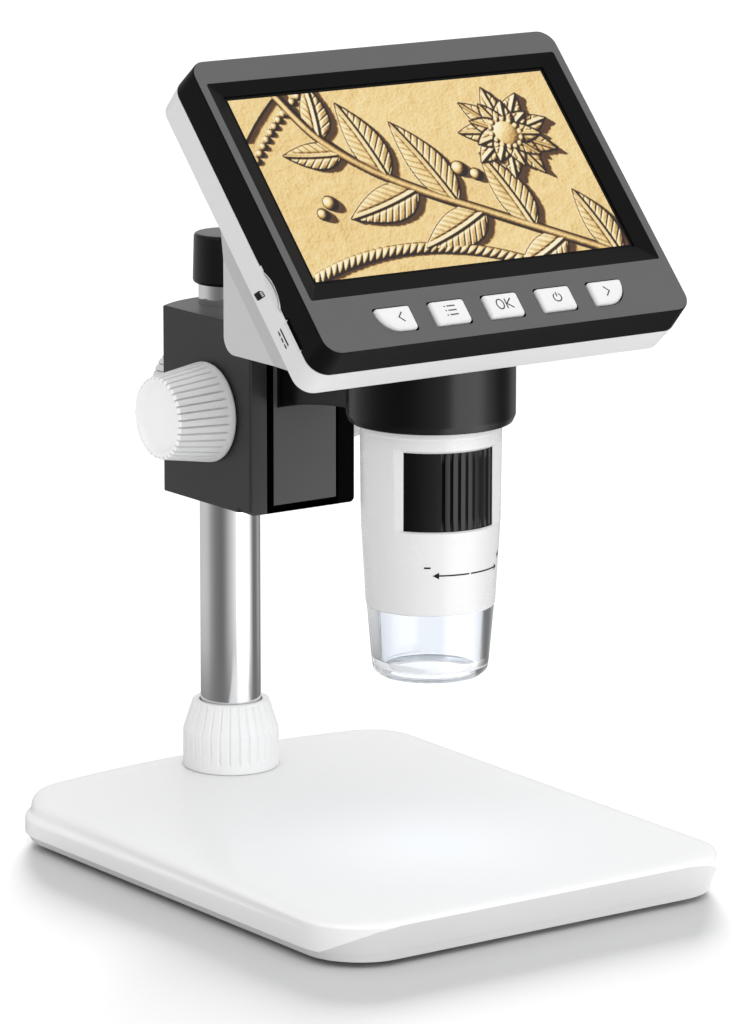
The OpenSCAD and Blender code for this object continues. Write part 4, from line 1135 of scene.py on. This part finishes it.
def make_barrel():
    prof = fillet([(14.7, 74), (15.95, 74, 0.25), (16.1, 74.6), (17.3, 95), (17.6, 118.2, 0.2), (17.85, 118.7, 0.15), (17.85, 147.9), (13.5, 147.9),
                   (13.5, 145.4), (16.6, 145.4), (16.6, 92.9), (14.7, 92.9)], 20)
    prof = resample(list(prof), 92, 119, 3)
    ob = lathe("barrel_shell_v", prof, 192, AT_LENS)
    rings = []
    for r, g in ((14.0, 0.0), (16.75, 0.0), (17.75, 1.0), (48.0, 1.0)):
        rings.append((r, g))
    scale_pts = []
    for r, g in rings:
        t0, t1, z0, z1 = -60 - 9 * g, 29 + 17 * g, 95.3 - 0.55 * g, 115.0 + 0.75 * g
        pts = []
        # bottom edge left to right, right edge up, top edge right to left, left edge down
        m = 40
        for j in range(m):
            pts.append((t0 + (t1 - t0) * j / m, z0))
        for j in range(8):
            pts.append((t1, z0 + (z1 - z0) * j / 8))
        for j in range(m):
            pts.append((t1 + (t0 - t1) * j / m, z1))
        for j in range(8):
            pts.append((t0, z1 + (z0 - z1) * j / 8))
        scale_pts.append(np.array([(r * math.sin(math.radians(t)), -r * math.cos(math.radians(t)), z) for t, z in pts]))
    cut = loft("cutter", scale_pts, AT_LENS)
    cuts = [cut]
    for a in (0, 180):
        t = math.radians(a)
        cuts.append(block(13, 15.3, -1.8, 1.8, 76.4, 93.4, AT_LENS @ Matrix.Rotation(t, 4, "Z")))
    for a in (30, 150, 90):
        t = math.radians(a)
        cuts.append(tube(1.25, 140, 152, 16, AT_LENS @ Matrix.Translation((15.4 * math.cos(t), 15.4 * math.sin(t), 0))))
    boolean(ob, cuts)
    shade(ob, 26)
    place(ob, "microscope", "white_plastic", M_BARREL, replaces=["barrel_shell"])

    # wheel: ribbed all round but for one smooth thumb rest
    prof = fillet([(13.6, 93.2), (16.42, 93.2, 0.35), (16.42, 117.2, 0.35), (13.6, 117.2)], 20)
    prof = resample(list(prof), 93, 117, 10)

    def rib(th, r, z):
        if r < 16.0 or z < 93.9 or z > 116.5:
            return np.full(len(th), r)
        a = (np.degrees(th) + 90 + 180) % 360 - 180  # from the front
        u = (a / 7.2) % 1.0
        g = np.clip(1 - np.abs(u - 0.5) * 2 / 0.34, 0, 1)
        g = np.sqrt(np.clip(g, 0, 1))
        smooth = (a > -112) & (a < -27)
        edge = min(1.0, (z - 93.9) / 0.5, (116.5 - z) / 0.5)
        return r - 0.42 * edge * np.where(smooth, 0, g)
    ob = lathe("focus_wheel_v", prof, 700, AT_LENS, rib)
    shade(ob, 40)
    place(ob, "wheel", "black_plastic", M_GLOSSBLACK, replaces=["focus_wheel"])

    # clear hood
    prof = fillet([(11.2, 56.2, 0.3), (12.6, 56.2, 1.0), (14.25, 57.6, 1.6), (14.6, 59.8, 1.0), (15.85, 73.95, 0.1), (14.65, 73.95), (14.65, 75.4, 0.1),
                   (13.3, 75.4, 0.1), (13.2, 72.0, 2.0), (12.55, 60.6, 1.2), (11.9, 58.9, 0.6), (11.2, 58.6, 0.2)], 12)
    ob = lathe("clear_hood_v", prof, 192, AT_LENS)
    shade(ob, 50, weighted=False)
    place(ob, "microscope", "clear_plastic", M_CLEAR, replaces=["clear_hood"])
    ob.visible_glossy = False


make_barrel()


# ---------------------------------------------------------------- screen glass and its picture
def screen_picture():
    """Colours of a generic gilt relief seen close up: broad leaves on a branch, a rope and a beaded rim."""
    W, H = 95.04, 53.86
    nx, ny = 476, 270
    xs, ys = np.linspace(0, W, nx), np.linspace(0, H, ny)
    X, Y = np.meshgrid(xs, ys)
    step = xs[1] - xs[0]

    def noise(freq, seed):
        rng = np.random.RandomState(seed)
        g = rng.rand(int(H * freq) + 3, int(W * freq) + 3)
        u, v = X * freq, Y * freq
        i, j = np.floor(u).astype(int), np.floor(v).astype(int)
        fu, fv = u - i, v - j
        fu, fv = fu * fu * (3 - 2 * fu), fv * fv * (3 - 2 * fv)
        return (g[j, i] * (1 - fu) + g[j, i + 1] * fu) * (1 - fv) + (g[j + 1, i] * (1 - fu) + g[j + 1, i + 1] * fu) * fv

    def sstep(a, b, x):
        t = np.clip((x - a) / (b - a), 0, 1)
        return t * t * (3 - 2 * t)

    h = np.zeros_like(X)

    # a plain raised rim and a row of beads across the upper left corner
    cx, cy = 78.0, -34.0
    d = np.hypot(X - cx, Y - cy)
    h = np.maximum(h, sstep(108.4, 109.0, d) * 1.6)
    for k in range(80):
        a = math.radians(90 + k * 2.35 * 0.62)
        bx, by = cx + 104.6 * math.cos(a), cy + 104.6 * math.sin(a)
        q = 1 - ((X - bx) ** 2 + (Y - by) ** 2) / 1.25 ** 2
        h = np.maximum(h, np.sqrt(np.clip(q, 0, 1)) * 1.5)

    def leaf(x0, y0, ang, length, width, level=2.2, bend=0.0):
        """A pointed leaf: domed halves, a raised midrib and cut side veins."""
        nonlocal h
        ca, sa = math.cos(ang), math.sin(ang)
        u = ((X - x0) * ca + (Y - y0) * sa) / length
        v = (-(X - x0) * sa + (Y - y0) * ca) / width - bend * (u - u * u)
        uu = np.clip(u, 0, 1)
        half = np.sin(np.pi * uu ** 0.72) ** 0.85 * 0.5
        e = np.where((u > 0) & (u < 1), (half - np.abs(v)) * width, -1)
        body = sstep(0.0, 0.45, e)
        side = np.abs(v) / np.maximum(half, 1e-3)
        dome = 0.45 + 0.55 * np.sqrt(np.clip(1 - (side * 1.15 - 0.25) ** 2, 0, 1))
        mid = np.exp(-((v * width) / 0.42) ** 2) * 0.55 - np.exp(-((np.abs(v) * width - 0.85) / 0.4) ** 2) * 0.35
        s = (u * length - np.abs(v) * width * 0.9) / 2.3
        vein = np.abs(s - np.round(s))
        cut = np.exp(-(vein / 0.11) ** 2) * 0.34 * sstep(0.5, 1.6, np.abs(v) * width)
        top = body * (level * dome + mid - cut)
        h = np.where(e > 0, np.maximum(h * 0.15, top), h)

    stem = spline([(99, -6), (85, 1), (70, 8.5), (56, 15.5), (43, 22), (30, 30.5), (20, 41), (13, 56)], 16)

    def on_stem(t):
        i = int(t * (len(stem) - 2))
        p, q = stem[i], stem[i + 1]
        return p, math.atan2(q[1] - p[1], q[0] - p[0])

    for t, side, ln, wd, spread in [(0.09, -1, 21, 10, 50), (0.22, 1, 20, 9.5, 50), (0.29, -1, 24, 11, 50), (0.42, 1, 24, 11, 48), (0.49, -1, 27, 12, 46),
                                    (0.60, 1, 24, 11, 46), (0.67, -1, 24, 11, 44), (0.80, 1, 17, 8.5, 42), (0.86, -1, 17, 8.5, 46)]:
        p, base = on_stem(t)
        leaf(p[0], p[1], base + side * math.radians(spread), ln, wd, bend=0.25 * side)
    ds = np.full_like(X, 1e9)
    for a, b in zip(stem[:-1], stem[1:]):
        ab = b - a
        t = np.clip(((X - a[0]) * ab[0] + (Y - a[1]) * ab[1]) / (ab @ ab), 0, 1)
        ds = np.minimum(ds, np.hypot(X - a[0] - t * ab[0], Y - a[1] - t * ab[1]))
    h = np.where(ds < 1.5, np.maximum(h, np.sqrt(np.clip(1 - (ds / 1.5) ** 2, 0, 1)) * 3.0 + 0.2), h)
    # berries in pairs
    for bx, by, br in ((56.5, 27.6, 2.3), (60.6, 25.4, 1.9), (14.8, 21.6, 2.2), (11.4, 18.6, 1.8)):
        r2 = (X - bx) ** 2 + (Y - by) ** 2
        q = 1 - r2 / br ** 2
        h = np.where(q > 0, np.maximum(h * 0.2, np.sqrt(np.clip(q, 0, 1)) * 2.4 + 0.3), h)
    # a rosette of pointed petals
    rx, ry = 75.5, 36.5
    for k in range(9):
        leaf(rx, ry, math.radians(14 + 40 * k), 14.5, 7.6, level=2.3)
    for k in range(9):
        leaf(rx, ry, math.radians(34 + 40 * k), 10.5, 6.4, level=3.0)
    rr = np.hypot(X - rx, Y - ry)
    h = np.where(rr < 4.2, 2.2 + 1.6 * np.sqrt(np.clip(1 - (rr / 4.3) ** 2, 0, 1)), h)
    for k in range(14):
        a = math.radians(360 / 14 * k)
        q = 1 - ((X - rx - 4.3 * math.cos(a)) ** 2 + (Y - ry - 4.3 * math.sin(a)) ** 2) / 0.95 ** 2
        h = np.where(q > 0, np.maximum(h, 2.4 + np.sqrt(np.clip(q, 0, 1)) * 1.2), h)
    # a twisted rope along the lower right
    rope = np.abs(np.hypot(X - 30, Y + 72) - 78.2)
    ang = np.arctan2(Y + 72, X - 30) * 78.2
    tw = np.abs(((ang / 2.1 + (np.hypot(X - 30, Y + 72) - 78.2) * 0.32) % 1.0) - 0.5) * 2
    prof = np.sqrt(np.clip(1 - (rope / 1.7) ** 2, 0, 1))
    h = np.where(rope < 1.7, np.maximum(h, prof * (1.2 + 0.9 * np.sqrt(np.clip(1 - tw ** 2, 0, 1)))), h)

    # worn, slightly pitted field
    n1, n2, n3 = noise(0.07, 3), noise(0.45, 5), noise(1.9, 8)
    h = h + 0.10 * n2 + 0.05 * n3
    # light from the upper left, with the shadows that the relief throws
    L = np.array((-0.60, 0.46, 0.62))
    L = L / np.linalg.norm(L)
    shade = np.zeros_like(h)
    far = np.pad(h, 40, mode="edge")
    flat = math.hypot(L[0], L[1])
    dx, dy, drop = -L[0] / flat, -L[1] / flat, L[2] / flat
    for k in range(1, 22):
        s = k * step * 0.8
        ox, oy = int(round(-dx * s / step)), int(round(-dy * s / step))
        sh = far[40 + oy:40 + oy + ny, 40 + ox:40 + ox + nx]
        shade = np.maximum(shade, sh - drop * 0.80 * s - h)
    thrown = sstep(0.0, 0.5, shade)
    g = 1.5
    gy, gx = np.gradient(h, step)
    nz = 1 / np.sqrt(1 + (gx * g) ** 2 + (gy * g) ** 2)
    lit = np.clip(-gx * g * L[0] - gy * g * L[1] + L[2], 0, 9) * nz / L[2]
    steep = np.hypot(gx, gy)
    tone = 0.66 * lit ** 0.9 + 0.07 * (n1 - 0.5) + 0.04 * (n2 - 0.5) + 0.04 * (n3 - 0.5)
    tone = tone * (1 - 0.80 * thrown) * np.exp(-0.35 * np.clip(steep - 1.0, 0, 4) * (lit < 1.05))
    edge = np.exp(-0.9 * np.clip(steep - 2.0, 0, 5))
    tone = np.clip(tone * (0.25 + 0.75 * edge), 0, 1.15)
    stops = [(0.0, (0.010, 0.003, 0.001)), (0.10, (0.055, 0.020, 0.006)), (0.28, (0.25, 0.115, 0.028)), (0.46, (0.60, 0.37, 0.11)),
             (0.62, (0.86, 0.62, 0.26)), (0.78, (0.95, 0.78, 0.42)), (0.95, (1.0, 0.92, 0.66)), (1.15, (1.0, 0.98, 0.86))]
    sx = [s[0] for s in stops]
    rgb = np.stack([np.interp(tone, sx, [s[1][c] for s in stops]) for c in range(3)], -1)
    return X, Y, W, H, nx, ny, rgb


def make_screen():
    ob = prism("lcd_panel_v", rrect(105, 65.6, 0.6, 4), -1.55, -0.47, 0.08, 0.05, 1, HEAD)
    shade(ob, 30)
    place(ob, "microscope", "screen", M_GLASSBLACK, replaces=["lcd_panel"])

    X, Y, W, H, nx, ny, rgb = screen_picture()
    V = np.column_stack([X.ravel() - W / 2, Y.ravel() - H / 2, np.full(X.size, -0.435)])
    F = []
    for i in range(ny - 1):
        for j in range(nx - 1):
            F.append((i * nx + j, i * nx + j + 1, (i + 1) * nx + j + 1, (i + 1) * nx + j))
    # closed thin film: four skirts and one bottom face
    border = [j for j in range(nx)] + [i * nx + nx - 1 for i in range(1, ny)] + [(ny - 1) * nx + j for j in range(nx - 2, -1, -1)] + \
             [i * nx for i in range(ny - 2, 0, -1)]
    nb = len(border)
    low = V[border].copy()
    low[:, 2] = -0.469
    off = len(V)
    V = np.vstack([V, low])
    for j in range(nb):
        k = (j + 1) % nb
        F.append((border[j], off + j, off + k, border[k]))
    F.append([off + j for j in range(nb)][::-1])
    me = bpy.data.meshes.new("lcd_picture")
    me.from_pydata((xf(V, HEAD) * MM).tolist(), [], F)
    at = me.color_attributes.new("picture", "FLOAT_COLOR", "POINT")
    col = np.ones((len(V), 4), np.float32)
    col[:X.size, :3] = rgb.reshape(-1, 3)
    col[X.size:, :3] = 0.01
    at.data.foreach_set("color", col.ravel())
    ob = bpy.data.objects.new("lcd_picture", me)
    SC.collection.objects.link(ob)
    me.shade_flat()
    m = bpy.data.materials.new("lcd_picture")
    m.use_nodes = True
    nt = m.node_tree
    b = nt.nodes["Principled BSDF"]
    an = nt.nodes.new("ShaderNodeAttribute")
    an.attribute_name = "picture"
    tc = nt.nodes.new("ShaderNodeTexCoord")
    ns = nt.nodes.new("ShaderNodeTexNoise")
    ns.inputs["Scale"].default_value = 1400
    ns.inputs["Detail"].default_value = 4
    nt.links.new(tc.outputs["Object"], ns.inputs["Vector"])
    mr = nt.nodes.new("ShaderNodeMapRange")
    mr.inputs["To Min"].default_value, mr.inputs["To Max"].default_value = 0.9, 1.1
    nt.links.new(ns.outputs["Fac"], mr.inputs["Value"])
    mx = nt.nodes.new("ShaderNodeVectorMath")
    mx.operation = "SCALE"
    nt.links.new(an.outputs["Color"], mx.inputs[0])
    nt.links.new(mr.outputs["Result"], mx.inputs["Scale"])
    nt.links.new(mx.outputs[0], b.inputs["Emission Color"])
    b.inputs["Emission Strength"].default_value = 0.92
    b.inputs["Base Color"].default_value = (0.004, 0.004, 0.004, 1)
    b.inputs["Roughness"].default_value = 0.3
    b.inputs["Specular IOR Level"].default_value = 0.25
    me.materials.append(m)
    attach(ob, "microscope")
    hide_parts("lcd_panel")


make_screen()


# ---------------------------------------------------------------- printed marks
def ribbon(points, width, closed=False):
    """Outline polygons of a line of the given width: one quad per segment, joined by mitres."""
    P = np.asarray(points, float)
    n = len(P)
    L, R = [], []
    for i in range(n):
        a = P[i - 1] if (i > 0 or closed) else None
        c = P[(i + 1) % n] if (i < n - 1 or closed) else None
        d1 = (P[i] - a) / np.linalg.norm(P[i] - a) if a is not None else None
        d2 = (c - P[i]) / np.linalg.norm(c - P[i]) if c is not None else None
        if d1 is None:
            d1 = d2
        if d2 is None:
            d2 = d1
        n1 = np.array((-d1[1], d1[0]))
        n2 = np.array((-d2[1], d2[0]))
        m = (n1 + n2) / max(0.3, 1 + float(n1 @ n2))
        L.append(P[i] + m * width / 2)
        R.append(P[i] - m * width / 2)
    return [np.array((R[i], R[(i + 1) % n], L[(i + 1) % n], L[i])) for i in range(n if closed else n - 1)], (L, R)


def mark(name, shapes, h0, h1, mapf, body, material, slot="black_plastic"):
    """Thin printed marks. shapes: closed 2D polygons or ("line", points, width, closed). mapf(x, y, h) gives the point in mm."""
    V, F = [], []

    def add(loop_pairs):
        pass

    for s in shapes:
        if isinstance(s, tuple) and s[0] == "line":
            _, pts, width, closed = s
            _, (L, R) = ribbon(pts, width, closed)
            n = len(L)
            o = len(V)
            for a in range(n):
                for q, h in ((L[a], h0), (R[a], h0), (R[a], h1), (L[a], h1)):
                    V.append(mapf(q[0], q[1], h))
            for a in range(n if closed else n - 1):
                b = (a + 1) % n
                for u, w in ((0, 1), (1, 2), (2, 3), (3, 0)):
                    F.append((o + 4 * a + u, o + 4 * b + u, o + 4 * b + w, o + 4 * a + w))
            if not closed:
                F.append((o, o + 1, o + 2, o + 3))
                F.append((o + 4 * (n - 1) + 3, o + 4 * (n - 1) + 2, o + 4 * (n - 1) + 1, o + 4 * (n - 1)))
        else:
            n = len(s)
            o = len(V)
            for q in s:
                V.append(mapf(q[0], q[1], h0))
            for q in s:
                V.append(mapf(q[0], q[1], h1))
            F.append(list(range(o, o + n))[::-1])
            F.append(list(range(o + n, o + 2 * n)))
            for a in range(n):
                b = (a + 1) % n
                F.append((o + a, o + b, o + n + b, o + n + a))
    ob = raw(name, np.array(V), F)
    me = ob.data
    me.shade_flat()
    place(ob, body, slot, material)
    return ob


def head_map(cx, cv):
    def f(x, y, h):
        return tuple(HEAD @ Vector((cx + x, cv + y, h)))
    return f


def arc(cx, cy, r, a0, a1, n=24):
    return [(cx + r * math.cos(math.radians(a0 + (a1 - a0) * i / n)), cy + r * math.sin(math.radians(a0 + (a1 - a0) * i / n))) for i in range(n + 1)]


def make_marks():
    top = 2.555
    lw = 0.33
    # previous and next: open chevrons
    mark("mark_prev", [("line", [(1.75, 1.35), (0.45, 0.0), (1.75, -1.35)], lw, False)], top, top + 0.03, head_map(KEY_X[0], KEY_V), "key_prev_body", M_INK)
    mark("mark_next", [("line", [(-1.35, 1.35), (-0.05, 0.0), (-1.35, -1.35)], lw, False)], top, top + 0.03, head_map(KEY_X[4], KEY_V), "key_next_body", M_INK)
    rows = []
    for v in (1.35, 0.1, -1.15):
        rows.append(("line", [(-0.85, v), (1.55, v)], lw, False))
        rows.append(np.array(arc(-1.55, v, 0.2, 0, 330, 11)))
    mark("mark_menu", rows, top, top + 0.03, head_map(KEY_X[1], KEY_V), "key_menu_body", M_INK)
    o = [(-1.35 + 1.02 * math.cos(math.radians(a)), 0.05 + 1.38 * math.sin(math.radians(a))) for a in range(0, 360, 15)]
    mark("mark_ok", [("line", o, lw, True), ("line", [(0.42, 1.43), (0.42, -1.33)], lw, False), ("line", [(2.15, 1.43), (0.58, 0.0)], lw, False),
                     ("line", [(0.62, 0.02), (2.25, -1.33)], lw, False)], top, top + 0.03, head_map(KEY_X[2], KEY_V), "key_ok_body", M_INK)
    mark("mark_power", [("line", arc(0, 0, 1.15, 122, 418, 30), lw, False), ("line", [(0, 1.45), (0, 0.2)], lw, False)], top, top + 0.03,
         head_map(KEY_X[3], KEY_V), "key_power_body", M_INK)

    # focus scale on the barrel: minus, double arrow, plus
    def cyl(x, y, h):
        # x is degrees from the front, y is height
        r = wall_r(y) + h
        t = math.radians(x)
        return (r * math.sin(t), LENS_Y - r * math.cos(t), y)

    def line_deg(x0, x1, y, w, n=26):
        return ("line", [(x0 + (x1 - x0) * i / n, y) for i in range(n + 1)], w, False)

    z = 84.4
    shapes = [line_deg(-29, -1.5, z, 0.36, 22), line_deg(0.4, 33.0, z, 0.36, 26), np.array([(-34.5, z), (-29.0, z - 0.85), (-29.0, z + 0.85)]),
              np.array([(38.0, z), (33.0, z + 0.8), (33.0, z - 0.8)]), line_deg(-41.8, -36.2, 86.4, 0.42, 8), line_deg(38.0, 44.0, 87.2, 0.42, 8),
              ("line", [(41.0, 86.3), (41.0, 88.1)], 1.4, False)]
    mark("mark_focus", shapes, 0.02, 0.05, cyl, "microscope", M_INKBLACK)

    # generic memory card sign and direct current sign on the left side
    def side_pt(u, v, h):
        # u runs down the screen's side, v towards the screen's front
        def f(x, y, hh):
            vv = u + x
            nn = v + y
            X = -(55.6 - 0.375 * (-7.2 - nn) / 7.45) - hh
            return tuple(HEAD @ Vector((X, vv, nn)))
        return f
    A, E1, E2 = np.array((-19.95, -14.0)), np.array((-1.15, 3.75)), np.array((-2.25, 0.35))

    def card_pt(a, b):
        return tuple(A + a * E1 + b * E2)
    card = [card_pt(*q) for q in ((0.0, 0.14), (0.05, 0.03), (0.14, 0.0), (0.70, 0.0), (1.0, 0.30), (1.0, 0.86), (0.96, 0.97), (0.88, 1.0), (0.12, 1.0), (0.03, 0.96), (0.0, 0.88))]
    mark("mark_card", [np.array(card)], 0.015, 0.045, side_pt(0, 0, 0), "microscope", M_INKBLACK)
    bars = [np.array([card_pt(a, b) for a, b in ((0.66, t), (0.90, t), (0.90, t + 0.13), (0.66, t + 0.13))]) for t in (0.24, 0.48, 0.72)]
    mark("mark_card_contacts", bars, 0.05, 0.07, side_pt(0, 0, 0), "microscope", M_WHITE, slot="white_plastic")
    D = np.array((-35.1, -10.9))
    dc = [("line", [tuple(D + (2.45, 0.62)), tuple(D + (-2.45, 0.62))], 0.5, False)]
    dc += [("line", [tuple(D + (a, -0.62)), tuple(D + (a - 1.25, -0.62))], 0.5, False) for a in (2.45, 0.62, -1.2)]
    mark("mark_supply", dc, 0.015, 0.045, side_pt(0, 0, 0), "microscope", M_INKBLACK)


make_marks()


# ---------------------------------------------------------------- the ring light's glow on the base
def make_glow():
    ld = bpy.data.lights.new("ring_light", "AREA")
    ld.shape = "DISK"
    ld.size = 0.020
    ld.energy = 0.006
    ld.color = (0.70, 0.86, 1.0)
    lo = bpy.data.objects.new("ring_light", ld)
    lo.location = (0, LENS_Y * MM, 0.0745)
    SC.collection.objects.link(lo)
    lo.visible_camera = False
    lo.visible_glossy = False


make_glow()
for parts in (WHITES, FILLED):
    for nm in parts["names"]:
        parts["collection"].objects.link(bpy.data.objects[nm])
